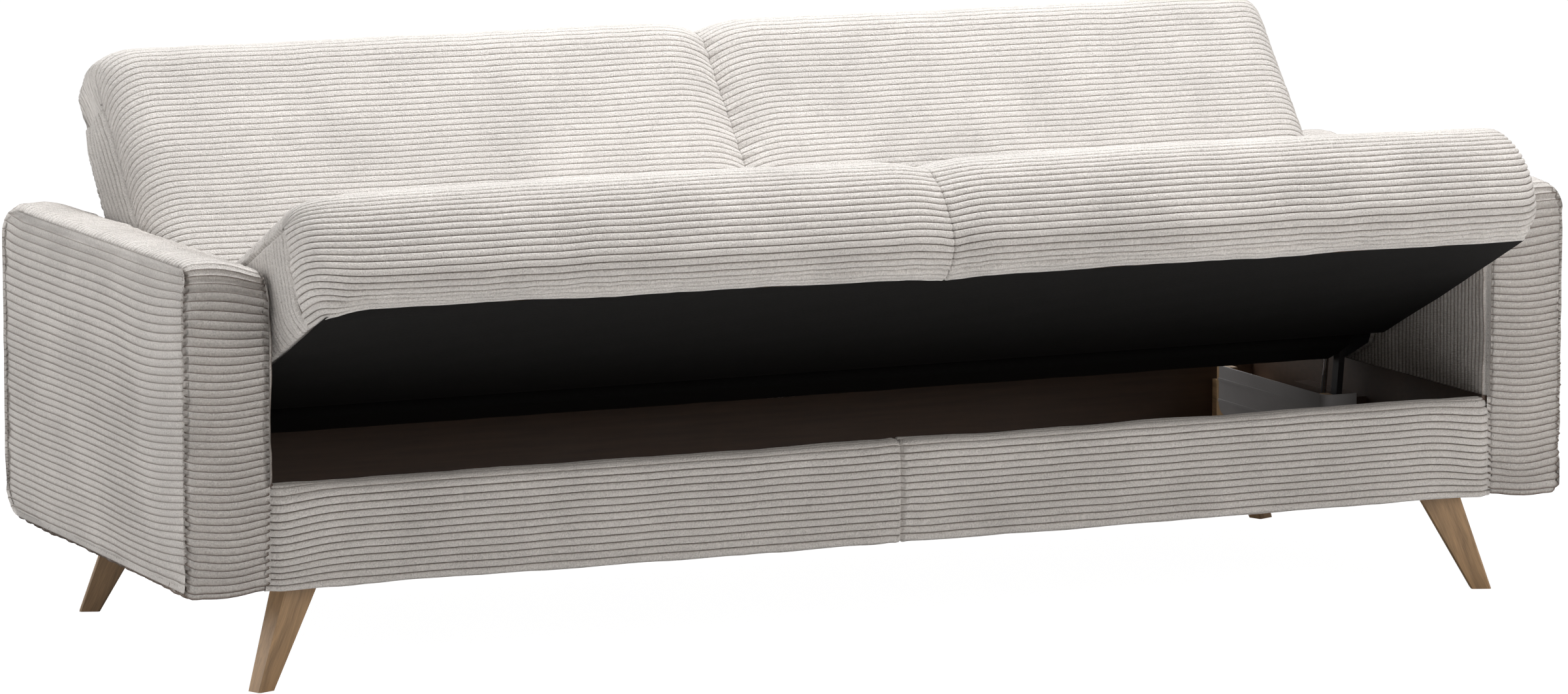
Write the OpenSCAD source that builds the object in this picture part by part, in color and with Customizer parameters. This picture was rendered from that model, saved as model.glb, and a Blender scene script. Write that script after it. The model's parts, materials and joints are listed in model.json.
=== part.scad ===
// Sofa bed with a bedding box, shown with the seat and back lifted off the box.
// X runs along the sofa, Y from front to rear, Z up from the floor. Millimetres and degrees.

/* [Base] */
// Width over both arms
overall_w = 2260; // [2000:10:2400]
// Depth of the arms and of the base
base_d = 772; // [745:1:820]
// Height of the underside of the base over the floor
leg_h = 151; // [120:1:180]
// Height of the bedding box, from its underside to its rim
box_h = 152; // [146:1:170]
// Height of the lower rear panel, which the flat back clears
rear_panel_h = 116; // [90:1:117]
// Thickness of the side boards of the box
side_t = 16; // [12:1:22]
// Thickness of the front and rear boards
panel_t = 18; // [12:1:20]
// Thickness of the floor sheet
floor_t = 4; // [3:0.5:8]
// Height of the battens under the floor sheet
batten_h = 15; // [10:1:20]
// Width of a floor batten
batten_w = 45; // [30:1:70]
// Number of floor battens
batten_count = 5; // [3:1:9]
// Padding on the front panel
front_pad = 10; // [6:0.5:16]
// Padding that wraps over the rim of the front panel
rim_pad = 9; // [5:0.5:14]
// How far the front cover reaches down inside the box
rim_wrap = 24; // [12:1:40]
// Fabric on the rear panel
rear_skin = 2; // [1:0.5:4]
// Height of the corner blocks over the leg plates
corner_block_h = 80; // [50:1:95]

/* [Arms] */
// Thickness of an arm
arm_w = 133; // [110:1:170]
// Height of the top of the arms over the floor
arm_top = 606; // [540:1:680]
// Padding and fabric round the arm frame
arm_pad = 14; // [10:0.5:20]
// Rounding of the rear corners in side view
arm_rear_r = 64; // [30:1:90]
// Rounding of the front corners in side view
arm_front_r = 12; // [5:1:25]
// Rounding of the long edges of an arm
arm_edge_r = 15; // [8:1:24]
// Width of the timber of the arm frame
arm_timber = 40; // [25:1:60]
// Board of the arm frame that the box side is bolted to
arm_board_t = 14; // [10:1:18]
// Bolts that hold each arm
arm_bolt_count = 3; // [2:1:5]
// Distance of the first arm bolt from the front of the sofa
arm_bolt_front = 125; // [110:1:150]
// Height of the arm bolts over the underside of the base
arm_bolt_up = 48; // [40:1:60]
// Length of an arm bolt under its head
arm_bolt_l = 50; // [40:1:60]
// Diameter of an arm bolt
arm_bolt_d = 8; // [6:1:10]

/* [Legs] */
// Long side of a leg at its top
leg_top_a = 66; // [50:1:74]
// Short side of a leg at its top
leg_top_b = 36; // [28:1:44]
// Long side of a leg at the floor
leg_foot_a = 31; // [22:1:45]
// Short side of a leg at the floor
leg_foot_b = 26; // [18:1:34]
// Turn of a leg about the vertical
leg_turn = 21.5; // [0:0.5:35]
// Distance from the end of the sofa to the middle of a foot
foot_x = 123; // [100:1:180]
// Distance from the front of the sofa to the middle of a foot
foot_y = 30; // [26:1:60]
// Outward lean of a leg along X, from its top to the floor
splay_x = 65; // [20:1:75]
// Outward lean of a leg along Y, from its top to the floor
splay_y = 27; // [5:1:45]
// Diameter of the leg bolts
leg_bolt_d = 8; // [6:1:10]
// Thickness of the leg plates
leg_plate_t = 3; // [2:0.5:5]

/* [Seat] */
// Depth of the seat, from the front edge of its frame to its rear face
seat_d = 484; // [450:1:490]
// Height of the seat cushion over its underside
seat_top = 192; // [170:1:210]
// How far the padded front stands out before the frame
seat_nose = 60; // [45:1:75]
// Gap between the seat and an arm
seat_gap = 9; // [5:0.5:12]
// Depth of the groove at the seam in the middle of the seat
seat_groove = 12; // [6:1:20]
// Half width of that groove
seat_groove_w = 75; // [50:1:100]
// Rounding of the outer sides of the seat and back
side_r = 60; // [40:1:75]
// Length of the seat strap on the seat frame
strap_hold = 84; // [70:1:95]
// Height of the seat frame
seat_frame_h = 45; // [35:1:55]
// Thickness of the seat and back frame timber
rail_t = 22; // [18:1:26]
// Black cloth under the seat and back
cloth_t = 1.5; // [1:0.25:2.5]

/* [Back] */
// Length of the back over the hinge
back_h = 555; // [500:1:600]
// Face of the back before the hinge
back_front = 95; // [85:1:96]
// Rear of the back behind the hinge
back_rear = 76; // [68:1:78]
// Angle between the seat and the face of the back, over the right angle
back_lean = 15.8; // [10:0.1:20]
// Depth of the groove at the seam in the middle of the back
back_groove = 32; // [15:1:40]
// Half width of that groove
back_groove_w = 130; // [80:1:160]
// Length of the back strap over the hinge
back_strap_top = 175; // [150:1:200]
// Depth of the back frame timber
back_frame_t = 42; // [30:1:50]

/* [Linkage] */
// Length of the links between their pivots
link_len = 180; // [170:1:190]
// Distance between the front and rear links
link_pitch = 42; // [34:1:48]
// Thickness of the front link and of the rear link's eyes
link_t = 10; // [9:0.5:11]
// Diameter of the round rear link
link_d = 9.5; // [8:0.5:10.5]
// Diameter of the pivot pins
pin_d = 8; // [6:0.5:8]
// Diameter of the hinge pins
hinge_pin_d = 10; // [8:0.5:10]
// Running clearance round a pin, on the radius
pin_gap = 0.05; // [0.03:0.01:0.1]
// Forward lean of the links with the box open
link_lean = 8; // [6:0.5:10]
// Tilt of the seat with the box open
seat_tilt = 24.7; // [22:0.1:27]
// Distance of the rear link's lower pivot from the front of the sofa
pivot_y = 449; // [440:1:458]
// Height of the lower pivots over the underside of the base
pivot_h = 60; // [52:1:64]
// Hinge behind the rear face of the seat
hinge_back = 107; // [101:1:116]
// Hinge over the underside of the seat
hinge_h = 79; // [74:1:84]
// Distance of the links' inner side from the end of the sofa
link_x = 179.5; // [176:0.5:184]
// Thickness of the hinge plates, straps and brackets
plate_t = 4; // [3:0.5:4]
// Side gap between neighbouring moving plates
side_gap = 2; // [1:0.25:2]

/* [Guards] */
// Distance of a guard's long wall from the end of the sofa
guard_x = 237; // [225:1:260]
// Distance of a guard's front from the front of the sofa
guard_y = 327; // [300:1:340]
// Distance of a guard's rear end from the rear of the sofa
guard_rear = 96; // [80:1:125]
// Width of a guard's front flange
guard_flange = 58; // [40:1:60]
// Top of a guard below the rim of the box
guard_drop = 38; // [37:0.5:50]
// Height of a guard
guard_h = 78; // [50:1:84]
// Thickness of a guard's wall
guard_t = 3; // [2:0.5:4]
// Side of the wooden posts that carry a guard
post = 24; // [16:1:28]
// Length of the wood behind a bracket, to the rear of its rear pivot
bracket_block_rear = 111; // [60:1:120]
// Height of that wood over the pivots
bracket_block_up = 40; // [30:1:44]

/* [Hidden] */
$fn = 48;
eps = 0.01;
skin_gap = 0.3;

fabric = "gainsboro";
black_cloth = "#1c1b1a";
leg_wood = "#8f6e4b";
frame_wood = "burlywood";
board_brown = "#5c4a3c";
steel = "silver";
guard_grey = "whitesmoke";

// Places of the linkage, seen from the side as [y, z] from the front of the sofa
half_w = overall_w / 2;
inner_x = half_w - arm_w;
board_x = inner_x - 3;
rim_z = leg_h + box_h;
low_pivot = [pivot_y, leg_h + pivot_h];
hinge_t = seat_d + hinge_back;
guard_l = base_d - guard_y - guard_rear;
hinge = low_pivot + link_len * [-sin(link_lean), cos(link_lean)];
seat_half = inner_x - seat_gap;
back_tilt = seat_tilt + back_lean;

// The origin is in the middle of the sofa's depth as it is shown, from the seat's nose to the back's top
nose_y = hinge[0] - (hinge_t + seat_nose) * cos(seat_tilt) - (hinge_h - 50) * sin(seat_tilt);
crest_y = hinge[0] + (back_h - 12) * sin(back_tilt) + (back_rear - 12) * cos(back_tilt);
front_y = -(nose_y + crest_y) / 2;

// Layers of the fittings across the sofa, counted outwards from the links' inner side
link_in = half_w - link_x;
link_out = link_in + link_t;
plate_in = link_out + side_gap;
plate_out = plate_in + plate_t;
seat_strap_in = plate_out + side_gap;
back_strap_in = seat_strap_in + plate_t + side_gap;
back_strap_out = back_strap_in + plate_t;
pin_head_t = 2.5;
slot_in = link_in - pin_head_t - 1.5;
slot_out = back_strap_out + pin_head_t;
eye_r = 9;
hinge_eye_r = 14;
link_rod_d = min(link_d, link_t - 0.5);

// A point a of the way from p to q
function mix(p, q, a) = p + (q - p) * a;
// Points of an arc round c with radii rx and ry, from angle a to angle b in n steps
function arc(c, rx, ry, a, b, n) = [for (i = [0:n]) let (g = mix(a, b, i / n)) c + [rx * cos(g), ry * sin(g)]];
// Quarter of a soft outline that is fuller than an ellipse
function soft_arc(c, rx, ry, a, b, n, full) = [for (i = [0:n]) let (g = mix(a, b, i / n), p = 2 / full)
    c + [sign(cos(g)) * rx * pow(abs(cos(g)), p), sign(sin(g)) * ry * pow(abs(sin(g)), p)]];
function mean(ring) = [for (k = [0:2]) [for (p = ring) p[k]] * [for (p = ring) 1 / len(ring)]];

// Solid through rings of equally many points, closed by a fan at each end
module loft(rings) {
    n = len(rings);
    m = len(rings[0]);
    points = concat([for (ring = rings) each ring], [mean(rings[0]), mean(rings[n - 1])]);
    sides = [for (i = [0:n - 2], j = [0:m - 1]) let (a = i * m + j, b = i * m + (j + 1) % m)
        each [[a, b + m, b], [a, a + m, b + m]]];
    starts = [for (j = [0:m - 1]) [j, (j + 1) % m, n * m]];
    ends = [for (j = [0:m - 1]) [(n - 1) * m + (j + 1) % m, (n - 1) * m + j, n * m + 1]];
    polyhedron(points, concat(sides, starts, ends));
}

// Solid between two corners
module block(low, high) {
    translate(low) cube(high - low);
}

// Moves children from the front of the sofa to the model's frame
module from_front() {
    translate([0, front_y, 0]) children();
}

// The same pieces at both ends of the sofa
module both_ends() {
    children();
    mirror([1, 0, 0]) children();
}

module at_end(side) {
    if (side < 0) mirror([1, 0, 0]) children();
    else children();
}

// Frames of the tilted seat, from its front lower edge, and of the back, from the hinge
module in_seat() {
    from_front() translate([0, hinge[0], hinge[1]]) rotate([-seat_tilt, 0, 0])
        translate([0, -hinge_t, -hinge_h]) children();
}

module in_back() {
    from_front() translate([0, hinge[0], hinge[1]]) rotate([-back_tilt, 0, 0]) children();
}

// Round bar along X, from x0 to x1, at y and z
module rod_x(x0, x1, y, z, d) {
    translate([x0, y, z]) rotate([0, 90, 0]) cylinder(h = x1 - x0, d = d);
}

// Flat bar in the plane of the linkage, with round ends and its bores, from [y, z] p to q
module flat_bar(x0, t, p, q, r, bore_p, bore_q) {
    run = q - p;
    translate([x0, p[0], p[1]]) rotate([atan2(run[1], run[0]), 0, 0]) difference() {
        union() {
            block([0, 0, -r], [t, norm(run), r]);
            for (y = [0, norm(run)]) rod_x(0, t, y, 0, 2 * r);
        }
        if (bore_p > 0) rod_x(-1, t + 1, 0, 0, bore_p);
        if (bore_q > 0) rod_x(-1, t + 1, norm(run), 0, bore_q);
    }
}

// Round link with flat eyes, from [y, z] p to q
module rod_link(x0, p, q, r, bore_p, bore_q) {
    run = q - p;
    translate([x0, p[0], p[1]]) rotate([atan2(run[1], run[0]), 0, 0]) difference() {
        union() {
            translate([link_t / 2, r - 3, 0]) rotate([-90, 0, 0]) cylinder(h = norm(run) - 2 * r + 6, d = link_rod_d);
            for (y = [0, norm(run)]) rod_x(0, link_t, y, 0, 2 * r);
        }
        rod_x(-1, link_t + 1, 0, 0, bore_p);
        rod_x(-1, link_t + 1, norm(run), 0, bore_q);
    }
}

// Countersunk screw along +X, with its head's face at x0
module wood_screw(x0, y, z, l) {
    translate([x0, y, z]) rotate([0, 90, 0]) {
        cylinder(h = screw_head_t, d1 = screw_head_d, d2 = screw_d);
        cylinder(h = l, d = screw_d);
    }
}

// Clearance hole for such a screw
module screw_hole(x0, y, z, l) {
    translate([x0 - eps, y, z]) rotate([0, 90, 0]) {
        cylinder(h = screw_head_t + eps, d1 = screw_head_d + 2 * pin_gap, d2 = screw_d + 2 * pin_gap);
        cylinder(h = l, d = screw_d + 2 * pin_gap);
    }
}

// Sizes of the fittings on the box and of their screws
floor_z = leg_h + batten_h;
screw_d = 4;
screw_head_d = 8;
screw_head_t = 2.5;
front_pivot = low_pivot - [link_pitch, 0];
bracket_low = [front_pivot[0] - 26, low_pivot[1] - 26];
bracket_high = [low_pivot[0] + 34, low_pivot[1] + 26];
bracket_screw_places = [for (y = [bracket_low[0] + 8, bracket_high[0] - 8],
    z = [bracket_low[1] + 8, bracket_high[1] - 8]) [y, z]];
bracket_block_low = [front_pivot[0] - 34, floor_z + floor_t];
bracket_block_high = low_pivot + [bracket_block_rear, bracket_block_up];

// Box

box_front = front_pad;
box_rear = base_d - rear_skin;
block_w = board_x - (half_w - guard_x + guard_t + post) - 2;
block_d = 70;

module box_front_panel() {
    color(board_brown) from_front()
        block([-board_x, box_front, leg_h], [board_x, box_front + panel_t, rim_z - rim_pad]);
}

module box_rear_panel() {
    color(board_brown) from_front()
        block([-board_x, box_rear - panel_t, leg_h], [board_x, box_rear, leg_h + rear_panel_h]);
}

module box_side(side) {
    color(board_brown) from_front() at_end(side) difference() {
        block([board_x, box_front, leg_h], [board_x + side_t, box_rear, rim_z]);
        for (p = arm_bolt_places) rod_x(board_x - 1, board_x + side_t + 1, p[0], p[1], arm_bolt_d + 2 * pin_gap);
    }
}

module corner_block_places() {
    both_ends() for (y = [box_front + panel_t, box_rear - panel_t - block_d])
        translate([board_x - block_w, y, 0]) children();
}

module box_floor() {
    color(board_brown) from_front() difference() {
        block([-board_x, box_front + panel_t, floor_z], [board_x, box_rear - panel_t, floor_z + floor_t]);
        corner_block_places() block([-eps, -eps, leg_h], [block_w + eps, block_d + eps, rim_z]);
    }
}

module floor_battens() {
    span = board_x - block_w - batten_w;
    color(frame_wood) from_front() for (i = [0:batten_count - 1])
        translate([mix(-span, span, i / (batten_count - 1)) - batten_w / 2, box_front + panel_t, leg_h])
            cube([batten_w, box_rear - box_front - 2 * panel_t, batten_h]);
}

module corner_blocks() {
    color(frame_wood) from_front() difference() {
        corner_block_places()
            block([0, 0, leg_h + leg_plate_t], [block_w, block_d, leg_h + corner_block_h]);
        leg_places() translate([0, 0, leg_h]) cylinder(h = leg_bolt_up + eps, d = leg_bolt_d + 2 * pin_gap);
    }
}

// Padded cover of the front panel: its face, the rounded rim and the strip that reaches down inside
module front_panel_cover() {
    r = min(front_pad + 2, rim_pad + 3);
    inside = box_front + panel_t + 3;
    outline = concat([[box_front, leg_h], [0, leg_h]],
        arc([r, rim_z - r], r, r, 180, 90, 8),
        arc([inside - 6, rim_z - 6], 6, 6, 90, 0, 5),
        [[inside, rim_z - rim_wrap], [box_front + panel_t, rim_z - rim_wrap],
         [box_front + panel_t, rim_z - rim_pad], [box_front, rim_z - rim_pad]]);
    color(fabric) from_front() difference() {
        translate([-inner_x, 0, 0]) rotate([90, 0, 90]) linear_extrude(2 * inner_x) polygon(outline);
        both_ends() block([board_x, box_front, 0], [inner_x + 1, inside + 1, rim_z + 1]);
    }
}

module rear_panel_cover() {
    color(fabric) from_front()
        block([-inner_x, box_rear, leg_h], [inner_x, base_d, leg_h + rear_panel_h]);
}

// Arms

arm_bolt_z = leg_h + arm_bolt_up;
arm_bolt_rear = (bracket_block_high[0] + box_rear - panel_t - block_d) / 2;
arm_bolt_mid = bracket_block_low[0] - 3.5 * arm_bolt_d;
arm_bolt_places = concat([[arm_bolt_rear, arm_bolt_z]], [for (i = [0:arm_bolt_count - 2])
    [mix(arm_bolt_front, arm_bolt_mid, i / max(1, arm_bolt_count - 2)), arm_bolt_z]]);

// Side view of an arm, drawn in by i all round
function arm_outline(i) = let (lo = leg_h + i, hi = arm_top - i, rear = base_d - i,
    f = max(arm_front_r - i / 2, 2), b = arm_rear_r - i) concat(
    arc([rear - b, lo + b], b, b, -90, 0, 7), arc([rear - b, hi - b], b, b, 0, 90, 7),
    arc([i + f, hi - f], f, f, 90, 180, 4), arc([i + f, lo + f], f, f, 180, 270, 4));

module arm_slab(x0, x1, i) {
    translate([x0, 0, 0]) rotate([90, 0, 90]) linear_extrude(x1 - x0) polygon(arm_outline(i));
}

module arm_cover(side) {
    steps = [for (g = [90, 67, 45, 22, 0]) g];
    r = arm_edge_r;
    inner = [for (g = steps) [inner_x + r * (1 - sin(g)), r * (1 - cos(g))]];
    outer = [for (g = steps) [half_w - inner_x, 0] + [inner_x - r * (1 - sin(g)), r * (1 - cos(g))]];
    stations = concat([for (i = [0:4]) [inner[i][0], r - inner[4 - i][1]]],
        [for (i = [4:-1:0]) [outer[i][0], r - outer[4 - i][1]]]);
    rings = [for (s = stations) [for (p = arm_outline(s[1])) [s[0], p[0], p[1]]]];
    color(fabric) from_front() at_end(side) difference() {
        loft(rings);
        arm_slab(inner_x + arm_pad, half_w - arm_pad, arm_pad);
        block([inner_x - 1, box_front - skin_gap, leg_h - 1],
            [inner_x + arm_pad + eps, box_rear + skin_gap, rim_z + skin_gap]);
    }
}

module arm_frame(side) {
    x0 = inner_x + arm_pad;
    x1 = half_w - arm_pad;
    board = board_x + side_t;
    inset = arm_pad + arm_timber;
    color(frame_wood) from_front() at_end(side) difference() {
        union() {
            difference() {
                arm_slab(x0, x1, arm_pad);
                arm_slab(x0 - 1, x1 + 1, inset);
            }
            block([x0, base_d / 2 - arm_timber / 2, leg_h + inset - 1],
                [x1, base_d / 2 + arm_timber / 2, arm_top - inset + 1]);
            block([board, inset, leg_h + arm_pad + 10], [board + arm_board_t, base_d - inset, rim_z - 8]);
        }
        for (p = arm_bolt_places) rod_x(board - 1, board_x + arm_bolt_l + 1, p[0], p[1], arm_bolt_d + 2 * pin_gap);
    }
}

module arm_bolts() {
    color(steel) from_front() both_ends() for (p = arm_bolt_places) {
        rod_x(board_x - eps, board_x + arm_bolt_l, p[0], p[1], arm_bolt_d);
        rod_x(board_x - 4, board_x, p[0], p[1], 2 * arm_bolt_d);
    }
}

// Legs

leg_bolt_up = 40;
leg_bolt_down = 45;
leg_top = [half_w - foot_x - splay_x, foot_y + splay_y];
leg_foot = [half_w - foot_x, foot_y];

module leg_places() {
    both_ends() {
        translate([leg_top[0], leg_top[1], 0]) children();
        translate([leg_top[0], base_d - leg_top[1], 0]) children();
    }
}

// Cross-section of a leg with eased corners, a long and b wide, turned and placed at [x, y] c
function leg_ring(c, a, b, z) = let (e = 2.5) [for (p = [[a / 2 - e, -b / 2], [a / 2, -b / 2 + e],
    [a / 2, b / 2 - e], [a / 2 - e, b / 2], [e - a / 2, b / 2], [-a / 2, b / 2 - e], [-a / 2, e - b / 2],
    [e - a / 2, -b / 2]])
    [c[0] + p[0] * cos(-leg_turn) - p[1] * sin(-leg_turn), c[1] + p[0] * sin(-leg_turn) + p[1] * cos(-leg_turn), z]];

// Tapered wooden leg that leans outwards
module leg(side, rear) {
    color(leg_wood) from_front() at_end(side)
        translate([0, rear ? base_d : 0, 0]) mirror([0, rear ? 1 : 0, 0]) difference() {
            loft([leg_ring(leg_foot, leg_foot_a, leg_foot_b, 0), leg_ring(leg_top, leg_top_a, leg_top_b, leg_h)]);
            translate([leg_top[0], leg_top[1], leg_h - leg_bolt_down])
                cylinder(h = leg_bolt_down + 1, d = leg_bolt_d + 2 * pin_gap);
        }
}

module leg_plates() {
    color(steel) from_front() difference() {
        corner_block_places() block([4, 3, leg_h], [block_w - 4, block_d - 3, leg_h + leg_plate_t]);
        leg_places() translate([0, 0, leg_h - 1]) cylinder(h = leg_plate_t + 2, d = leg_bolt_d + 2 * pin_gap);
    }
}

module leg_bolts() {
    color(steel) from_front() leg_places() translate([0, 0, leg_h - leg_bolt_down + 1])
        cylinder(h = leg_bolt_down + leg_bolt_up - 1, d = leg_bolt_d);
}

// Fittings on the box

module bracket_blocks() {
    color(frame_wood) from_front() both_ends() difference() {
        block([plate_out, bracket_block_low[0], bracket_block_low[1]],
            [board_x, bracket_block_high[0], bracket_block_high[1]]);
        for (p = bracket_screw_places) screw_hole(plate_in, p[0], p[1], 26);
    }
}

// Steel plate with the two lower pivot pins of one end
module base_bracket(side) {
    color(steel) from_front() at_end(side) {
        difference() {
            block([plate_in, bracket_low[0], bracket_low[1]], [plate_out, bracket_high[0], bracket_high[1]]);
            for (p = bracket_screw_places) screw_hole(plate_in, p[0], p[1], 26);
        }
        for (p = [low_pivot, front_pivot]) {
            rod_x(link_in - pin_head_t, plate_in + 1, p[0], p[1], pin_d);
            rod_x(link_in - pin_head_t, link_in - 0.5, p[0], p[1], pin_d + 6);
            rod_x(link_out + 0.5, plate_in + 1, p[0], p[1], pin_d + 6);
        }
    }
}

module bracket_screws() {
    color(steel) from_front() both_ends() for (p = bracket_screw_places) wood_screw(plate_in, p[0], p[1], 25);
}

guard_corner = 16;

// Plastic guard that keeps bedding off the links: a long wall, a rounded corner and a front flange
module guard(side) {
    corner = guard_corner;
    bead = 1.5;
    low = rim_z - guard_drop - guard_h;
    x0 = half_w - guard_x;
    outer = concat([[x0 + guard_flange, guard_y]], arc([x0 + corner, guard_y + corner], corner, corner, 270, 180, 8),
        [[x0, guard_y + guard_l]]);
    inner = concat([[x0 + guard_t, guard_y + guard_l]],
        arc([x0 + corner, guard_y + corner], corner - guard_t, corner - guard_t, 180, 270, 8),
        [[x0 + guard_flange, guard_y + guard_t]]);
    color(guard_grey) from_front() at_end(side) difference() {
        union() {
            translate([0, 0, low]) linear_extrude(guard_h) polygon(concat(outer, inner));
            for (z = [low + 20, low + guard_h - 24])
                block([x0 - bead, guard_y + corner, z], [x0 + eps, guard_y + guard_l, z + 4]);
        }
        difference() {
            block([x0 - 5, guard_y + guard_l - 20, low - 1], [x0 + 5, guard_y + guard_l + 1, low + 20]);
            rod_x(x0 - 6, x0 + 6, guard_y + guard_l - 20, low + 20, 40);
        }
    }
}

// Wooden posts on the floor of the box that the guards are fixed to
module guard_posts() {
    x0 = half_w - guard_x + guard_t;
    color(frame_wood) from_front() both_ends() for (y = [guard_y + guard_corner, guard_y + guard_l - post / 2])
        block([x0, y, floor_z + floor_t], [x0 + post, y + post, rim_z - guard_drop - 3]);
}

// Linkage

front_hinge = hinge - [link_pitch, 0];

module front_links() {
    color("dimgray") from_front() both_ends()
        flat_bar(link_in, link_t, front_pivot, front_hinge, eye_r, pin_d + 2 * pin_gap, pin_d + 2 * pin_gap);
}

module rear_links() {
    color("silver") from_front() both_ends()
        rod_link(link_in, low_pivot, hinge, eye_r, pin_d + 2 * pin_gap, hinge_pin_d + 2 * pin_gap);
}

module hinge_plates() {
    color(steel) from_front() both_ends()
        flat_bar(plate_in, plate_t, front_hinge, hinge, hinge_eye_r, pin_d, hinge_pin_d);
}

module hinge_pins() {
    color("silver") from_front() both_ends() {
        rod_x(link_in - pin_head_t, back_strap_out + pin_head_t, hinge[0], hinge[1], hinge_pin_d);
        rod_x(link_in - pin_head_t, link_in - 0.5, hinge[0], hinge[1], hinge_pin_d + 6);
        rod_x(back_strap_out + 0.5, back_strap_out + pin_head_t, hinge[0], hinge[1], hinge_pin_d + 6);
        rod_x(link_in - pin_head_t, plate_out, front_hinge[0], front_hinge[1], pin_d);
        rod_x(link_in - pin_head_t, link_in - 0.5, front_hinge[0], front_hinge[1], pin_d + 6);
    }
}

// Seat, drawn with Y along its depth from the frame's front edge and Z up from its underside

frame_edge = 12;
frame_half = seat_strap_in;
strap_r = 13;
strap_foot = [seat_d - strap_hold, strap_r + 7];

// Side view of the seat cushion, with its front, top and side drawn in
function seat_outline(nose, top, low_r) = let (mid_h = 50, rear_r = 45, rear_top = top - 14) concat(
    arc([seat_d - frame_edge, frame_edge], frame_edge, frame_edge, -90, 0, 3),
    arc([seat_d - rear_r, rear_top - rear_r], rear_r, rear_r, 0, 90, 4),
    [for (a = [0.25, 0.5, 0.75]) [mix(seat_d - rear_r, seat_nose, a), mix(rear_top, top, sin(90 * a))]],
    soft_arc([seat_nose, mid_h], seat_nose + nose, top - mid_h, 90, 180, 8, 2.3),
    [for (i = [1:5]) arc([low_r - nose, mid_h], low_r, mid_h, 180, 270, 5)[i]]);

// Places across half the seat as [x, nose, top, low]: the seam's groove, the crown and the rounded side
function seat_stations() = let (r = side_r, w = seat_groove_w, x0 = skin_gap / 2) concat(
    [for (i = [0, 0.09, 0.24, 0.45, 0.72, 1]) let (x = mix(x0, w, i), a = pow(1 - i, 1.7))
        [x, seat_nose - seat_groove * a, seat_top - 4 - seat_groove * a, seat_nose]],
    [for (a = [0.25, 0.5, 0.75]) [mix(w, seat_half - r, a), seat_nose, seat_top - 4 + 4 * sin(180 * a), seat_nose]],
    [for (g = [0:15:90]) let (a = 1 - cos(g))
        [seat_half - r + r * sin(g), seat_nose - r * a, seat_top - 4 - 28 * a, mix(seat_nose, 12, a)]]);

module seat_cushion(side) {
    rings = [for (s = seat_stations()) [for (p = seat_outline(s[1], s[2], s[3])) [s[0], p[0], p[1]]]];
    color(fabric) in_seat() at_end(side) difference() {
        loft(rings);
        block([-1, frame_edge, -1], [frame_half + skin_gap, seat_d - frame_edge, seat_frame_h + cloth_t + skin_gap]);
        block([frame_half - eps, strap_foot[0] - strap_r - 3, -1],
            [frame_half + plate_t + skin_gap, seat_d + 1, hinge_h + hinge_eye_r]);
    }
}

module seat_frame() {
    rear = seat_d - frame_edge;
    color(frame_wood) in_seat() difference() {
        union() {
            for (y = [frame_edge, rear - rail_t]) block([-frame_half, y, 0], [frame_half, y + rail_t, seat_frame_h]);
            for (i = [-2:2]) translate([i * (frame_half - rail_t / 2) / 2 - rail_t / 2, frame_edge, 0])
                cube([rail_t, rear - frame_edge, seat_frame_h]);
        }
        both_ends() for (p = strap_screw_places) screw_hole_back(frame_half + plate_t, p[0], p[1], 20);
    }
}

strap_screw_places = [for (a = [0.03, 0.25]) mix(strap_foot, [hinge_t, hinge_h], a)];

// Clearance hole for a screw driven towards -X from x0, and the screw
module screw_hole_back(x0, y, z, l) {
    translate([x0, 0, 0]) mirror([1, 0, 0]) screw_hole(0, y, z, l);
}

module wood_screw_back(x0, y, z, l) {
    translate([x0, 0, 0]) mirror([1, 0, 0]) wood_screw(0, y, z, l);
}

// Elastic bands across the frame, which carry the foam
module seat_webbing() {
    color("dimgray") in_seat() for (i = [0:9])
        translate([mix(-0.86, 0.86, i / 9) * frame_half - 30, frame_edge, seat_frame_h])
            cube([60, seat_d - 2 * frame_edge, cloth_t]);
}

module seat_cloth() {
    color(black_cloth) in_seat() block([14 - seat_half, 2, -cloth_t], [seat_half - 14, seat_d - frame_edge, 0]);
}

// Steel strap from the seat frame's side to the hinge
module seat_strap(side) {
    color(steel) in_seat() at_end(side) difference() {
        flat_bar(frame_half, plate_t, strap_foot, [hinge_t, hinge_h], strap_r, 0, hinge_pin_d + 2 * pin_gap);
        for (p = strap_screw_places) screw_hole_back(frame_half + plate_t, p[0], p[1], 20);
    }
}

module seat_screws() {
    color(steel) in_seat() both_ends() for (p = strap_screw_places)
        wood_screw_back(frame_half + plate_t, p[0], p[1], 19);
}

// Back, drawn with Y to its rear and Z up its length, both from the hinge

lining_t = 2;
back_base = hinge_h - cloth_t;
slot_top = 48;
back_rail_out = slot_in - 3.5;
back_low = -25;
back_rim = 25;
back_frame_y = [back_rear - lining_t - back_frame_t, back_rear - lining_t];
heel_r = 57;
heel = let (y = back_rear - heel_r) [y, (y * sin(back_lean) - back_base + heel_r) / cos(back_lean)];
toe_angle = 270 + back_lean - acos(back_base / (back_front - cloth_t));
toe_steps = 8;
function toe_point(i, r) = let (g = mix(180, toe_angle, i / toe_steps)) r * [cos(g), sin(g)];

// Side view of the back cushion: its heel, rear, top, face and rounded toe
function back_outline(front, top) = let (rear_r = 28, crown_r = 58, toe_r = back_front - cloth_t) concat(
    arc(heel, heel_r, heel_r, back_lean - 90, 0, 5),
    arc([back_rear - rear_r, top - rear_r], rear_r, rear_r, 0, 90, 4),
    arc([crown_r - front, top - crown_r], crown_r, crown_r, 90, 180, 7),
    [for (a = [0.25, 0.5, 0.75]) [-front, mix(top - crown_r, 0, a)]],
    [for (i = [0:toe_steps]) let (a = i / toe_steps) toe_point(i, mix(front, toe_r, min(1, 1.4 * a)))]);

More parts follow.
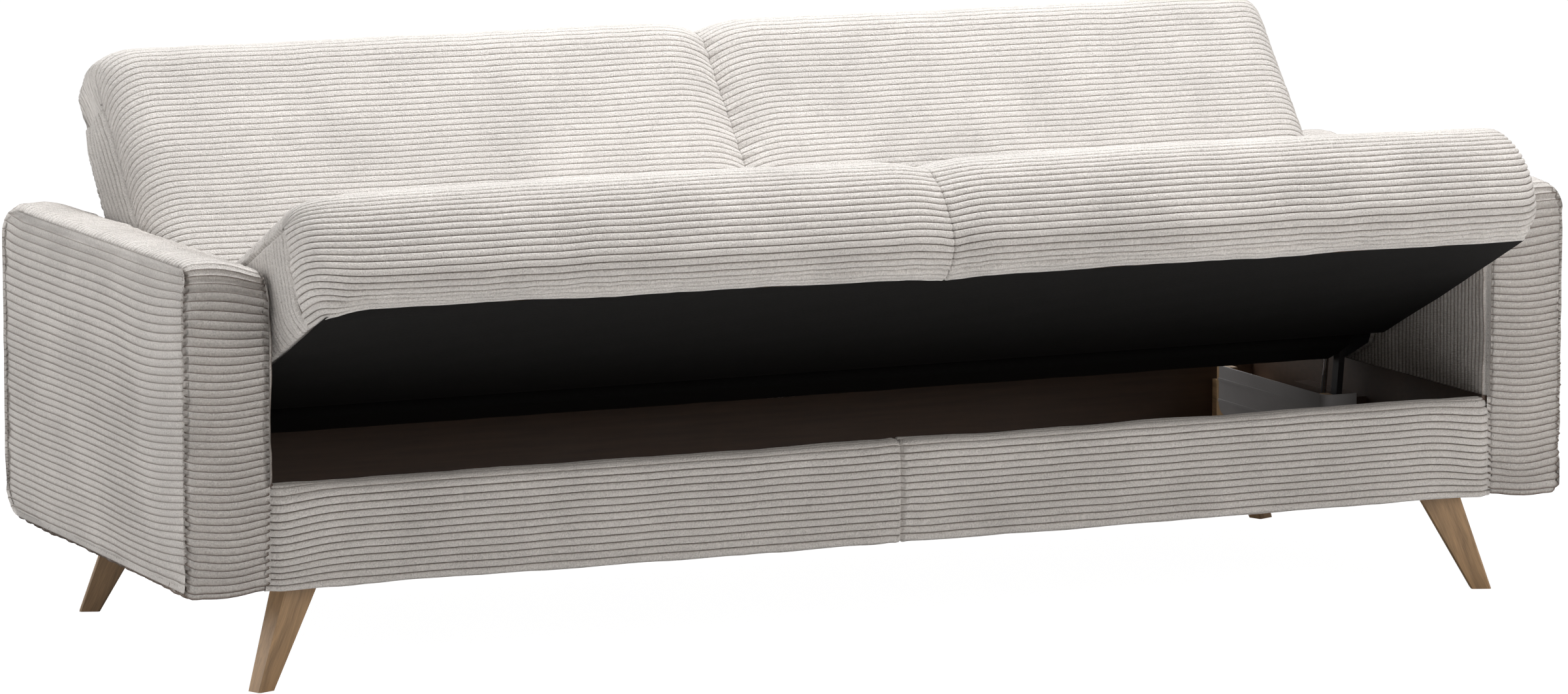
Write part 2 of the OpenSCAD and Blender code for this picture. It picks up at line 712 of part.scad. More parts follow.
function back_stations() = let (r = side_r, w = back_groove_w, x0 = skin_gap / 2, full = back_front - cloth_t) concat(
    [for (i = [0, 0.06, 0.15, 0.29, 0.48, 0.71, 1]) let (x = mix(x0, w, i), a = pow(1 - i, 1.8))
        [x, full - back_groove * a, back_h - 10 * a]],
    [for (a = [0.3, 0.6]) [mix(w, seat_half - r, a), full, back_h]],
    [for (g = [0:15:90]) let (a = 1 - cos(g)) [seat_half - r + r * sin(g), full - r * a, back_h - 3 * a]]);

// Slot through the lower end of the back that the hinge plates, links and straps work in
module back_slot() {
    block([slot_in, -2 * back_front, -2 * back_front], [slot_out, 2 * back_front, slot_top]);
}

module back_cushion(side) {
    rings = [for (s = back_stations()) [for (p = back_outline(s[1], s[2])) [s[0], p[0], p[1]]]];
    top = back_h - back_rim;
    color(fabric) in_back() at_end(side) difference() {
        loft(rings);
        block([-1, back_frame_y[0] - cloth_t - skin_gap, back_low - skin_gap],
            [back_rail_out + skin_gap, back_frame_y[1] + eps, top + skin_gap]);
        block([-1, back_frame_y[1], back_low - skin_gap], [back_strap_in, back_rear + 1, top + skin_gap]);
        block([back_rail_out - skin_gap, -strap_r - 3, slot_top - 1],
            [back_strap_in, back_frame_y[1] + eps, back_strap_top + strap_r + 3]);
        block([back_strap_in - eps, -hinge_eye_r - 3, slot_top - 1],
            [back_strap_in + plate_t + skin_gap, hinge_eye_r + 3, back_strap_top + hinge_eye_r + 3]);
        back_slot();
    }
}

back_screw_places = [for (a = [90, 50, 10]) back_strap_top - a];

module back_frame() {
    top = back_h - back_rim;
    y = back_frame_y;
    color(frame_wood) in_back() difference() {
        union() {
            for (z = [back_low, top - 35]) block([-back_rail_out, y[0], z], [back_rail_out, y[1], z + 35]);
            for (i = [-2:2]) translate([i * (back_rail_out - rail_t / 2) / 2 - rail_t / 2, y[0], back_low])
                cube([rail_t, back_frame_t, top - back_low]);
            both_ends() block([back_rail_out - eps, -strap_r - 2, slot_top + 1],
                [back_strap_in, y[1], back_strap_top + strap_r + 2]);
        }
        both_ends() for (z = back_screw_places) screw_hole_back(back_strap_in + plate_t, 0, z, 20);
    }
}

module back_webbing() {
    color("dimgray") in_back() for (i = [0:9])
        translate([mix(-0.86, 0.86, i / 9) * back_rail_out - 30, back_frame_y[0] - cloth_t, back_low])
            cube([60, cloth_t, back_h - back_rim - back_low]);
}

// Cover of the rear of the back
module back_lining() {
    color(fabric) in_back() difference() {
        block([-back_strap_in + skin_gap, back_frame_y[1], back_low],
            [back_strap_in - skin_gap, back_rear, back_h - back_rim]);
        both_ends() back_slot();
    }
}

// Black cloth under the back, from its toe to its heel
module back_cloth() {
    toe_r = back_front - cloth_t;
    half = slot_in - skin_gap;
    heel_end = heel + heel_r * [sin(back_lean), -cos(back_lean)];
    under = cloth_t * [sin(back_lean), -cos(back_lean)];
    outline = concat([for (i = [toe_steps - 2:toe_steps]) toe_point(i, toe_r)], [heel_end, heel_end + under],
        [for (i = [0:2]) toe_point(toe_steps - i, back_front)]);
    color(black_cloth) in_back() translate([-half, 0, 0]) rotate([90, 0, 90])
        linear_extrude(2 * half) polygon(outline);
}

// Steel strap from the back frame's side to the hinge
module back_strap(side) {
    color(steel) in_back() at_end(side) difference() {
        flat_bar(back_strap_in, plate_t, [0, 0], [0, back_strap_top], hinge_eye_r, hinge_pin_d + 2 * pin_gap, 0);
        for (z = back_screw_places) screw_hole_back(back_strap_in + plate_t, 0, z, 20);
    }
}

module back_screws() {
    color(steel) in_back() both_ends() for (z = back_screw_places)
        wood_screw_back(back_strap_in + plate_t, 0, z, 19);
}

box_front_panel();
box_rear_panel();
box_side(-1);  // box_side_left
box_side(1);  // box_side_right
box_floor();
floor_battens();
corner_blocks();
front_panel_cover();
rear_panel_cover();
arm_frame(-1);  // arm_frame_left
arm_frame(1);  // arm_frame_right
arm_cover(-1);  // arm_cover_left
arm_cover(1);  // arm_cover_right
arm_bolts();
leg(-1, false);  // leg_front_left
leg(1, false);  // leg_front_right
leg(-1, true);  // leg_rear_left
leg(1, true);  // leg_rear_right
leg_plates();
leg_bolts();
bracket_blocks();
base_bracket(-1);  // base_bracket_left
base_bracket(1);  // base_bracket_right
bracket_screws();
guard(-1);  // guard_left
guard(1);  // guard_right
guard_posts();
front_links();
rear_links();
hinge_plates();
hinge_pins();
seat_frame();
seat_webbing();
seat_cushion(-1);  // seat_cushion_left
seat_cushion(1);  // seat_cushion_right
seat_cloth();
seat_strap(-1);  // seat_strap_left
seat_strap(1);  // seat_strap_right
seat_screws();
back_frame();
back_webbing();
back_cushion(-1);  // back_cushion_left
back_cushion(1);  // back_cushion_right
back_lining();
back_cloth();
back_strap(-1);  // back_strap_left
back_strap(1);  // back_strap_right
back_screws();
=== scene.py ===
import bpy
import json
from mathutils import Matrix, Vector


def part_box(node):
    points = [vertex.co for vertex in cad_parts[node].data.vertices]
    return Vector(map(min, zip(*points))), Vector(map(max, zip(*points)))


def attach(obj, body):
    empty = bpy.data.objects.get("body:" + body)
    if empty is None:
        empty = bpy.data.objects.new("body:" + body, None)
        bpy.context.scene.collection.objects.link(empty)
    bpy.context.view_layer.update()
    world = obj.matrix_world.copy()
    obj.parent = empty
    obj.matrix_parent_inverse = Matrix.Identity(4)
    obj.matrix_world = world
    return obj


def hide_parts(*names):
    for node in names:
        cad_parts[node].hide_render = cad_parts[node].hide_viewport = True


bl_info = {
    "name": "Sofa bed",
    "version": (1, 0, 0),
    "blender": (4, 5, 0),
    "location": "3D View > Sidebar > Sofa bed",
    "description": "Dresses a sofa bed in ribbed cord, with wooden legs and an open bedding box",
    "category": "Add Mesh",
}

import json
import math
import bpy
import numpy as np
from bpy.props import FloatProperty, FloatVectorProperty, PointerProperty
from mathutils import Matrix, Vector

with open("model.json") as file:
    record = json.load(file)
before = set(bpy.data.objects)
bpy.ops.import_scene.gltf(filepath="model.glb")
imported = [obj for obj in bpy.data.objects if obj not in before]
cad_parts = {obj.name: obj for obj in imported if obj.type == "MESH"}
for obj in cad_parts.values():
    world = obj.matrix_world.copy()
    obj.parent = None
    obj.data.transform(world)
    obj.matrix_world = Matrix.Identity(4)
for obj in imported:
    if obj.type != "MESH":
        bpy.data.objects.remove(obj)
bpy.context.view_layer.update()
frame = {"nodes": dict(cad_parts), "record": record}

# Places of the solids under the fabric, in metres, as all sizes here are
HINGE = next(j["pos_m"] for j in frame["record"]["behaviour"]["joints"] if j["name"] == "seat_tilt")
ARM_LOW, ARM_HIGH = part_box("arm_cover_right")
PANEL_LOW, PANEL_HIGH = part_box("front_panel_cover")
REAR_LOW, REAR_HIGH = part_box("rear_panel_cover")
BOX_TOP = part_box("box_side_right")[1].z
SEAT_HALF = ARM_LOW.x - 0.009  # half the width of the seat and of the back

# Seat: t is measured behind its front edge and h over its underside
SEAT_TILT = math.radians(24.7)
SEAT_HINGE = (0.591, 0.079)
SEAT_DEPTH = 0.484
SEAT_TOP = 0.188
SEAT_NOSE = 0.060  # reach of the front's rounding
SEAT_ROUND = 0.050  # height of the rounding under the front
SEAT_REAR = 0.045  # radius over the rear
SEAT_EDGE = 0.012  # radius under the rear
SEAT_END = SEAT_DEPTH - SEAT_EDGE
SEAT_FALL = 0.014  # fall of the top to the rear
SEAT_CROWN = 0.075  # from the middle seam to the full height
SEAT_CLOTH = 0.044  # last stretch of the outline, which the black cloth covers
FLANK_TOP = 0.150  # height of the end panel's seam
HEM_RISE = 0.0095
SEAT_COLUMNS = (10, 35, 15, 6)  # over the groove, the crown, the round end and on to the end panel

# Back: y is measured to its rear and u up its length, from the hinge
BACK_TILT = math.radians(40.5)
BACK_LEAN = 15.8  # slope of the underside, in degrees
BACK_FRONT = 0.0935
BACK_REAR = 0.076
BACK_TOP = 0.563
BACK_LOW = 0.0775  # distance of the underside from the hinge
BACK_CROWN = 0.090  # from the middle seam to the full thickness
FACE_ROUND = 0.058  # radius over the face
REAR_ROUND = 0.028  # radius over the rear
HEEL_ROUND = 0.057  # radius under the rear
SIDE_ROUND = 0.060  # radius from the face to the end
END_FACE, END_REAR = -0.028, 0.070  # seams of the end panel
END_RISE = 0.26  # rise of its upper seam to the rear
TOE_IN = 0.93  # size of the end seam under the hinge, against the section's
SLOT = (0.9465, 0.9810, 0.048)  # inner side, outer side and roof of the hinge's slot

# Arm
ARM_ROUND = 0.015  # radius along its edges
ARM_REAR = 0.064  # radius of its rear corners in the side view
ARM_NOSE = 0.040  # radius of its upper front corner

# Where points stand over one rib, in shares of the pitch, and beside a seam
RIB_ROWS = (0.0, 0.045, 0.12, 0.26, 0.5, 0.74, 0.88, 0.955)
SEAM_STEPS = (0.0, 0.001, 0.0025, 0.0045, 0.007, 0.0105, 0.015, 0.021, 0.028, 0.036, 0.045, 0.055, 0.067, 0.081,
              0.097, 0.115)


class CordSettings(bpy.types.PropertyGroup):
    """Fabric of the cushions, arms and panels."""

    pitch: FloatProperty(name="Rib pitch", description="Distance from one rib to the next",
                         default=0.0108, min=0.006, max=0.03, unit="LENGTH", precision=4)
    height: FloatProperty(name="Rib height", description="How far a rib stands over its valley",
                          default=0.0046, min=0.0005, max=0.007, unit="LENGTH", precision=4)
    pile: FloatVectorProperty(name="Pile", description="Colour on top of the ribs",
                              default=(0.80, 0.768, 0.738), min=0, max=1, subtype="COLOR")
    # Painted shade: the dark colour laid into the valleys between the ribs, where their shade falls
    shaded_valley: FloatVectorProperty(name="Valley", description="Colour between the ribs",
                                default=(0.17, 0.125, 0.098), min=0, max=1, subtype="COLOR")
    lining: FloatVectorProperty(name="Lining", description="Colour of the black cloth underneath",
                                default=(0.0055, 0.0052, 0.005), min=0, max=1, subtype="COLOR")


class SeatSettings(bpy.types.PropertyGroup):
    """Seat cushions."""

    groove: FloatProperty(name="Groove", description="Depth of the groove at the middle seam",
                          default=0.012, min=0.0, max=0.03, unit="LENGTH")
    band: FloatProperty(name="Band", description="Height of the strip under the front seam",
                        default=0.028, min=0.0125, max=0.06, unit="LENGTH")
    wrap: FloatProperty(name="Wrap", description="How far the top wraps round the front corner",
                        default=0.062, min=0.02, max=0.1, unit="LENGTH")


class BackSettings(bpy.types.PropertyGroup):
    """Back cushions."""

    groove: FloatProperty(name="Groove", description="Depth of the groove at the middle seam",
                          default=0.028, min=0.0, max=0.05, unit="LENGTH")
    seam_drop: FloatProperty(name="Side seam drop", description="Distance of the end seam from the top",
                             default=0.075, min=0.03, max=0.15, unit="LENGTH")


class ArmSettings(bpy.types.PropertyGroup):
    """Arms."""

    crown: FloatProperty(name="Padding", description="How far the outer side swells",
                         default=0.013, min=0.0, max=0.03, unit="LENGTH")
    rise: FloatProperty(name="Top", description="Rise of the padding towards the outer edge of the top",
                        default=0.020, min=0.0, max=0.03, unit="LENGTH")
    bend: FloatProperty(name="Rib bend", description="Rise of the ribs towards the front seam",
                        default=0.010, min=0.0, max=0.03, unit="LENGTH")


class BaseSettings(bpy.types.PropertyGroup):
    """Legs and bedding box."""

    oak: FloatVectorProperty(name="Legs", description="Colour of the leg wood",
                             default=(0.38, 0.24, 0.125), min=0, max=1, subtype="COLOR")
    pine: FloatVectorProperty(name="Frame", description="Colour of the frame timber",
                              default=(0.56, 0.38, 0.21), min=0, max=1, subtype="COLOR")
    board: FloatVectorProperty(name="Box", description="Colour of the boards of the box",
                               default=(0.052, 0.030, 0.019), min=0, max=1, subtype="COLOR")


class StageSettings(bpy.types.PropertyGroup):
    """Camera and lamps."""

    eye: FloatVectorProperty(name="Camera", description="Place of the camera",
                             default=(-5.186, -11.01803, 2.2058), subtype="TRANSLATION", unit="LENGTH")
    yaw: FloatProperty(name="Yaw", description="Turn of the camera from +Y towards +X",
                       default=math.radians(25.030), subtype="ANGLE")
    pitch: FloatProperty(name="Pitch", description="Rise of the camera's axis",
                         default=math.radians(-8.446), subtype="ANGLE")
    lens: FloatProperty(name="Lens", description="Focal length on a sensor 36 mm wide",
                        default=186.57, min=20, max=400, subtype="NONE")
    top_light: FloatProperty(name="Top lamp", description="Power of the lamp overhead", default=250, min=0)
    front_light: FloatProperty(name="Front lamp", description="Power of the lamp in front", default=104, min=0)
    side_light: FloatProperty(name="Side lamp", description="Power of the lamp at the left", default=92, min=0)


# Lines and grids of points


def mix(a, b, share):
    """a at share 0 and b at share 1."""
    return a + (b - a) * share


def arc(centre, rx, ry, start, end, count=12, full=2.0):
    """Points of an arc between two angles in degrees; full over 2 squares it off."""
    angle = np.radians(np.linspace(start, end, count))
    c, s = np.cos(angle), np.sin(angle)
    power = 2 / full
    return np.column_stack([centre[0] + rx * np.sign(c) * np.abs(c) ** power,
                            centre[1] + ry * np.sign(s) * np.abs(s) ** power])


def line(*runs):
    """One line through several runs of points, without doubles."""
    points = np.vstack(runs)
    keep = np.r_[True, np.linalg.norm(np.diff(points, axis=0), axis=1) > 1e-6]
    return points[keep]


def lengths(points):
    """Length along a line at each of its points."""
    return np.r_[0.0, np.cumsum(np.linalg.norm(np.diff(points, axis=0), axis=1))]


def walk(points, at):
    """Points of a line at these lengths along it."""
    run = lengths(points)
    return np.column_stack([np.interp(at, run, points[:, k]) for k in range(points.shape[1])])


def even(points, count):
    """Points of a line at equal steps along it."""
    return walk(points, np.linspace(0, lengths(points)[-1], count))


def standing(x, points):
    """Points of a section, set at this x."""
    return np.column_stack([np.full(len(points), x), points])


def spread(total, step=0.020):
    """Lengths over a panel, closer together near its two seams."""
    ends = [v for v in SEAM_STEPS if v < total * 0.45]
    count = max(2, round((total - 2 * ends[-1]) / step))
    middle = np.linspace(ends[-1], total - ends[-1], count + 1)[1:-1]
    return np.array(ends + list(middle) + [total - v for v in reversed(ends)])


def spline(points, at):
    """Smooth curve through the rows of an array, at fractional row numbers."""
    last = len(points) - 1
    i = np.clip(np.floor(at).astype(int), 0, last - 1)
    f = (at - i).reshape((-1,) + (1,) * (points.ndim - 1))
    first = (i == 0).reshape(f.shape)
    final = (i == last - 1).reshape(f.shape)
    b, c = points[i], points[i + 1]
    a = np.where(first, 2 * b - c, points[np.maximum(i - 1, 0)])
    d = np.where(final, 2 * c - b, points[np.minimum(i + 2, last)])
    return 0.5 * (2 * b + (c - a) * f + (2 * a - 5 * b + 4 * c - d) * f ** 2
                  + (3 * b - a - 3 * c + d) * f ** 3)


def facing(points):
    """Unit normals of a grid of points."""
    normal = np.cross(np.gradient(points, axis=0), np.gradient(points, axis=1))
    return normal / np.maximum(np.linalg.norm(normal, axis=2, keepdims=True), 1e-12)


def grid_run(grid, axis):
    """Mean lengths along a grid: over its rows for axis 0 and over its columns for axis 1."""
    return np.r_[0.0, np.cumsum(np.linalg.norm(np.diff(grid, axis=axis), axis=2).mean(1 - axis))]


def grid_faces(n, m, turned):
    """Faces of a grid of n rows and m columns."""
    corner = (np.arange(n - 1)[:, None] * m + np.arange(m - 1)).ravel()
    faces = np.column_stack([corner, corner + m, corner + m + 1, corner + 1])
    return faces[:, ::-1] if turned else faces


def waves(u, v, size, seed):
    """Gentle unevenness with swells about this size."""
    chance = np.random.default_rng(seed)
    total = 0.0
    for _ in range(7):
        turn, phase = chance.uniform(0, 2 * math.pi, 2)
        k = 2 * math.pi / (size * chance.uniform(0.6, 1.6))
        total = total + np.sin(k * (u * math.cos(turn) + v * math.sin(turn)) + phase)
    return total / 2.65  # about the root of their number


def smooth(share):
    """Eased step from 0 to 1."""
    share = np.clip(share, 0, 1)
    return share * share * (3 - 2 * share)


def near(distance, reach):
    """1 at a place, falling to 0 past this reach."""
    return np.exp(-(distance / reach) ** 2)


def held(distance, reach):
    """0 at a seam, rising to 1 past this reach."""
    return 1 - np.exp(-distance / reach)


def bow(radius, past):
    """What is left of a round corner's radius, this far past the start of the corner."""
    return np.sqrt(np.maximum(radius * radius - np.maximum(0, past) ** 2, 0))


def settle(grid, turned=False, cap=0.004):
    """Lets a panel, sewn at its four edges and cut a little too large, find its own swells as cloth."""
    rows, columns = grid.shape[:2]
    cell, frames, excess = 0.024, 20, 0.003
    steps = max(6, round(lengths(grid[:, columns // 2])[-1] / cell))
    rough = spline(grid, np.linspace(0, rows - 1, 1 + steps))
    n, m = rough.shape[:2]
    flat, faces, _ = sheet_part(rough, turned)
    mesh = bpy.data.meshes.new("panel")
    mesh.from_pydata(flat, [], faces)
    made = bpy.data.objects.new("panel", mesh)
    bpy.context.scene.collection.objects.link(made)
    rim = np.ones((n, m), bool)
    rim[1:-1, 1:-1] = False
    made.vertex_groups.new(name="seam").add(np.flatnonzero(rim).tolist(), 1.0, "REPLACE")
    cloth = made.modifiers.new("Cloth", "CLOTH")
    run = cloth.settings
    run.quality, run.mass = 6, 0.3
    run.tension_stiffness = run.compression_stiffness = 15
    run.shear_stiffness, run.bending_stiffness = 8, 2.0
    run.vertex_group_mass, run.shrink_min = "seam", -excess
    run.use_pressure, run.uniform_pressure_force = True, 3.0
    run.effector_weights.gravity = 0
    cloth.collision_settings.use_collision = False
    for step in range(frames):
        bpy.context.scene.frame_set(step + 1)
    seen = made.evaluated_get(bpy.context.evaluated_depsgraph_get()).data
    moved = np.empty(n * m * 3, np.float32)
    seen.vertices.foreach_get("co", moved)
    moved = moved.reshape(n, m, 3) - rough
    far = np.maximum(np.linalg.norm(moved, axis=2, keepdims=True), 1e-9)
    moved *= cap * np.tanh(far / cap) / far
    bpy.data.objects.remove(made)
    bpy.data.meshes.remove(mesh)
    bpy.context.scene.frame_set(1)
    return grid + spline(moved, np.linspace(0, n - 1, rows))


def ribbed(grid, ribs, cord, seams=(1, 1, 1, 1), turned=False, seed=1, soft=0.0012, pinch=0.0036, relief=1.0,
           marks=(), hole=None):
    """Fine ribbed surface over a coarse grid, whose rows lie across the ribs and columns along them.

    seams says which edges are sewn: first row, last row, first column, last column. At a seam the
    cloth is drawn in by pinch, so that two panels that share it meet. soft is the size of its gentle
    swells. relief is 1 where the ribs stand at full height and less where the pile is pressed flat,
    for all rows of the grid or row by row. relief also sets how deep the painted shade in the valleys is.
    marks are places between its columns that get points of their own, and hole says which faces are
    left out. The part is on the right half of its piece.
    """

    def from_seam(d, first, last):
        """Distance from the nearer sewn edge, and a large one where neither edge is sewn."""
        return np.minimum(d if first else 9.0, d[-1, -1] - d if last else 9.0)

    rows, columns = grid.shape[:2]
    rib = np.concatenate([k + np.array(RIB_ROWS) for k in range(ribs)] + [[ribs]])
    row = rib / ribs * (rows - 1)
    run = grid_run(grid, 1)
    along = spread(run[-1])
    if len(marks):
        along = np.unique(np.round(np.r_[along, np.interp(marks, np.arange(columns), run)], 7))
    points = spline(grid, row)
    points = spline(points.swapaxes(0, 1), np.interp(along, run, np.arange(columns))).swapaxes(0, 1)
    normal = facing(points) * (-1 if turned else 1)
    across = np.gradient(points, axis=0)
    across /= np.maximum(np.linalg.norm(across, axis=2, keepdims=True), 1e-12)
    u, v = np.meshgrid(along, rib * cord.pitch)
    edge, end = from_seam(v, *seams[:2]), from_seam(u, *seams[2:])
    # Over one rib: round on top, with steep sides
    wale = (1 - np.abs(2 * (rib - np.floor(rib)) - 1) ** 4)[:, None] ** 0.6
    stand = np.interp(row, np.arange(rows), relief * np.ones(rows))[:, None]
    sewn = np.maximum(near(end, 0.0026), near(edge, 0.0030))
    lift = cord.height * (wale * stand * (1 + 0.15 * near(end - 0.006, 0.005)) - 0.45)
    # Swells all over, and puckers at the ends and beside the first and last row
    lift += soft * waves(u, v, 0.24, seed) + 0.0003 * waves(u, v, 0.055, seed + 1)
    lift += 0.0013 * waves(u * 0.15, v, 0.036, seed + 2) * near(end, 0.030)
    lift += 0.0011 * waves(u, v * 0.15, 0.040, seed + 3) * near(edge, 0.024)
    lift = lift * (1 - sewn) - pinch * sewn
    # The ribs wander a little to their sides
    drift = 0.0005 * waves(u, v, 0.16, seed + 4) + 0.0011 * waves(u * 0.6, v, 0.050, seed + 5) * near(end, 0.022)
    drift *= 1 - near(edge, 0.02)
    drift *= 1 - near(end, 0.004)
    points = points + normal * lift[..., None] + across * drift[..., None]
    n, m = points.shape[:2]
    faces = grid_faces(n, m, turned)
    flat = points.reshape(-1, 3)
    flat[:, 0] = np.maximum(flat[:, 0], 0)
    if hole is not None:
        faces = faces[~hole(flat[faces].mean(1))]
    cloth = np.column_stack([u.ravel(), np.repeat(rib, m), np.repeat(stand, m)])
    return flat, faces, cloth


def mirrored(part):
    """A part of the right half, turned over to the left."""
    flat, faces, cloth = part
    return flat * (-1, 1, 1), faces[:, ::-1], cloth


def on_side(side, parts):
    """Parts of a right half, as they are or mirrored to the left."""
    return [mirrored(part) for part in parts] if side == "left" else parts


def two_lengths(grid, ribs, cord, seams, turned, seeds, **looks):
    """Cover of a panel in two lengths that meet at its middle."""
    right, left = (ribbed(grid, ribs, cord, seams, turned, seed, pinch=0.0022, **looks) for seed in seeds)
    return [right, mirrored(left)]


def piece(name, parts, finish, body, replaced=()):
    """Mesh object of several parts, each its points, faces and cloth coordinates, that rides on a body."""
    start = np.cumsum([0] + [len(p[0]) for p in parts])
    mesh = bpy.data.meshes.new(name)
    mesh.from_pydata(np.vstack([p[0] for p in parts]), [], np.vstack([p[1] + s for p, s in zip(parts, start)]))
    cloth = mesh.attributes.new("cloth", "FLOAT_VECTOR", "POINT")
    cloth.data.foreach_set("vector", np.vstack([p[2] for p in parts]).astype(np.float32).ravel())
    mesh.polygons.foreach_set("use_smooth", [True] * len(mesh.polygons))
    mesh.update()
    made = bpy.data.objects.new(name, mesh)
    bpy.context.scene.collection.objects.link(made)
    mesh.materials.append(finish)
    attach(made, body)
    if replaced:
        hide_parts(*replaced)
    return made


def sheet_part(grid, turned=False):
    """Plain part straight from a grid, with its lengths as cloth coordinates."""
    n, m = grid.shape[:2]
    u, v = np.meshgrid(grid_run(grid, 1), grid_run(grid, 0))
    return grid.reshape(-1, 3), grid_faces(n, m, turned), np.column_stack([u.ravel(), v.ravel(), np.ones(n * m)])


# Finishes


class Link:
    """An output of a shader node. Arithmetic on it adds Math nodes."""

    def __init__(self, finish, node, out=0):
        self.finish, self.node, self.socket = finish, node, node.outputs[out]

    def out(self, name):
        return Link(self.finish, self.node, name)

    def maths(self, operation, *values):
        return self.finish.node("ShaderNodeMath", {"operation": operation}, dict(enumerate(values)))

    def __add__(self, other):
        return self.maths("ADD", self, other)

    def __radd__(self, other):
        return self.maths("ADD", other, self)

    def __sub__(self, other):
        return self.maths("SUBTRACT", self, other)

    def __rsub__(self, other):
        return self.maths("SUBTRACT", other, self)

    def __mul__(self, other):
        return self.maths("MULTIPLY", self, other)

    def __rmul__(self, other):
        return self.maths("MULTIPLY", other, self)

    def __pow__(self, other):
        return self.maths("POWER", self, other)

    def __abs__(self):
        return self.maths("ABSOLUTE", self)


class Finish:
    """A material, or the world, and the nodes in it."""

    def __init__(self, name, owner=None):
        self.owner = owner or bpy.data.materials.new(name)
        self.owner.use_nodes = True
        self.tree = self.owner.node_tree
        self.tree.nodes.clear()
        self.shown = self.tree.nodes.new("ShaderNodeOutputWorld" if owner else "ShaderNodeOutputMaterial")

    def node(self, kind, settings=None, values=None, out=0):
        """Adds a node with its settings first and then the values or links of its sockets."""
        made = self.tree.nodes.new(kind)
        for key, value in (settings or {}).items():
            if key == "stops":
                ramp = made.color_ramp
                while len(ramp.elements) < len(value):
                    ramp.elements.new(1.0)
                for stop, (place, colour) in zip(ramp.elements, value):
                    stop.position = place
                    stop.color = (*colour, 1)
            else:
                setattr(made, key, value)
        for key, value in (values or {}).items():
            if isinstance(value, Link):
                self.tree.links.new(value.socket, made.inputs[key])
            elif hasattr(value, "__len__"):
                made.inputs[key].default_value = (*value, 1) if made.inputs[key].type == "RGBA" else tuple(value)
            else:
                made.inputs[key].default_value = value
        return Link(self, made, out)

    def place(self):
        """Position on the object, which goes with it when it moves."""
        return self.node("ShaderNodeTexCoord", out="Object")

    def split(self, vector):
        """The three parts of a vector."""
        parts = self.node("ShaderNodeSeparateXYZ", {}, {0: vector})
        return parts.out("X"), parts.out("Y"), parts.out("Z")

    def cloth(self):
        """Lengths along and across the cloth, in metres or ribs, and how far its ribs stand."""
        return self.split(self.node("ShaderNodeAttribute", {"attribute_name": "cloth"}, out="Vector"))

    def noise(self, vector, detail=2.0, roughness=0.5, scale=1.0):
        return self.node("ShaderNodeTexNoise", {}, {"Vector": vector, "Scale": scale, "Detail": detail,
                                                    "Roughness": roughness})

    def blend(self, share, a, b):
        return self.node("ShaderNodeMix", {"data_type": "RGBA"}, {0: share, 6: a, 7: b}, out=2)

    def join(self, x, y, z):
        return self.node("ShaderNodeCombineXYZ", {}, {"X": x, "Y": y, "Z": z})

    def bump(self, height, strength, distance):
        return self.node("ShaderNodeBump", {}, {"Height": height, "Strength": strength, "Distance": distance})

    def surface(self, **values):
        """The finish's own shader, linked to the output."""
        shader = self.node("ShaderNodeBsdfPrincipled", {}, {k.replace("_", " "): v for k, v in values.items()})
        self.tree.links.new(shader.socket, self.shown.inputs["Surface"])
        return self.owner


def shade(colour, factor):
    """A colour made darker or lighter."""
    return tuple(min(1.0, c * factor) for c in colour)


def cord_finish(cord):
    """Soft pile in ribs, with short hairs across them and painted shade in the valley between."""
    f = Finish("Ribbed cord")
    along, across, stand = f.cloth()
    side = abs(2 * across.maths("FRACT", across) - 1)  # 0 on top of a rib and 1 in the valley
    wander = f.noise(f.join(along * 60, across * 0.7, 0.0), 1.0)
    # Painted shade in the valleys, wavering a little and deeper where the ribs stand taller
    shaded_valley = side ** 9 * (0.85 + wander * 0.4) * stand ** 0.6
    nubs = f.noise(f.join(along * 430, across * 4.6, across * 0.21), 3.0, 0.65)
    hairs = f.noise(f.join(along * 900, across * 8, 0.0), 2.0, 0.7)
    worn = f.noise(f.place(), 3.0, 0.55, scale=7.0)
    tone = (nubs - 0.5) * 1.9 + (hairs - 0.5) * 0.7 + (worn - 0.5) * 0.9 + 0.5
    pile = f.blend(tone, shade(cord.pile, 0.72), shade(cord.pile, 1.16))
    # The pile blended towards the painted valley shade
    colour = f.blend(shaded_valley, pile, tuple(cord.shaded_valley))
    bump = f.bump(nubs * 0.8 + hairs * 0.2, 1.0, 0.0050)
    return f.surface(Base_Color=colour, Roughness=0.88 + (hairs - 0.5) * 0.2, Normal=bump, Sheen_Weight=0.18,
                     Sheen_Roughness=0.45, Specular_IOR_Level=0.22)


def black_cloth_finish(colour):
    """Thin felted cloth with a fine weave."""
    f = Finish("Black dust cloth")
    along, across, _ = f.cloth()
    warp = f.noise(f.join(along * 700, across * 90, 0.0))
    weft = f.noise(f.join(along * 90, across * 700, 0.0))
    lint = f.noise(f.place(), scale=240.0)
    colour = f.blend((warp + weft) * 0.5, shade(colour, 0.6), shade(colour, 2.0))
    return f.surface(Base_Color=colour, Roughness=0.85 + lint * 0.1, Specular_IOR_Level=0.15,
                     Normal=f.bump(warp + weft + lint * 0.5, 0.5, 0.0004))


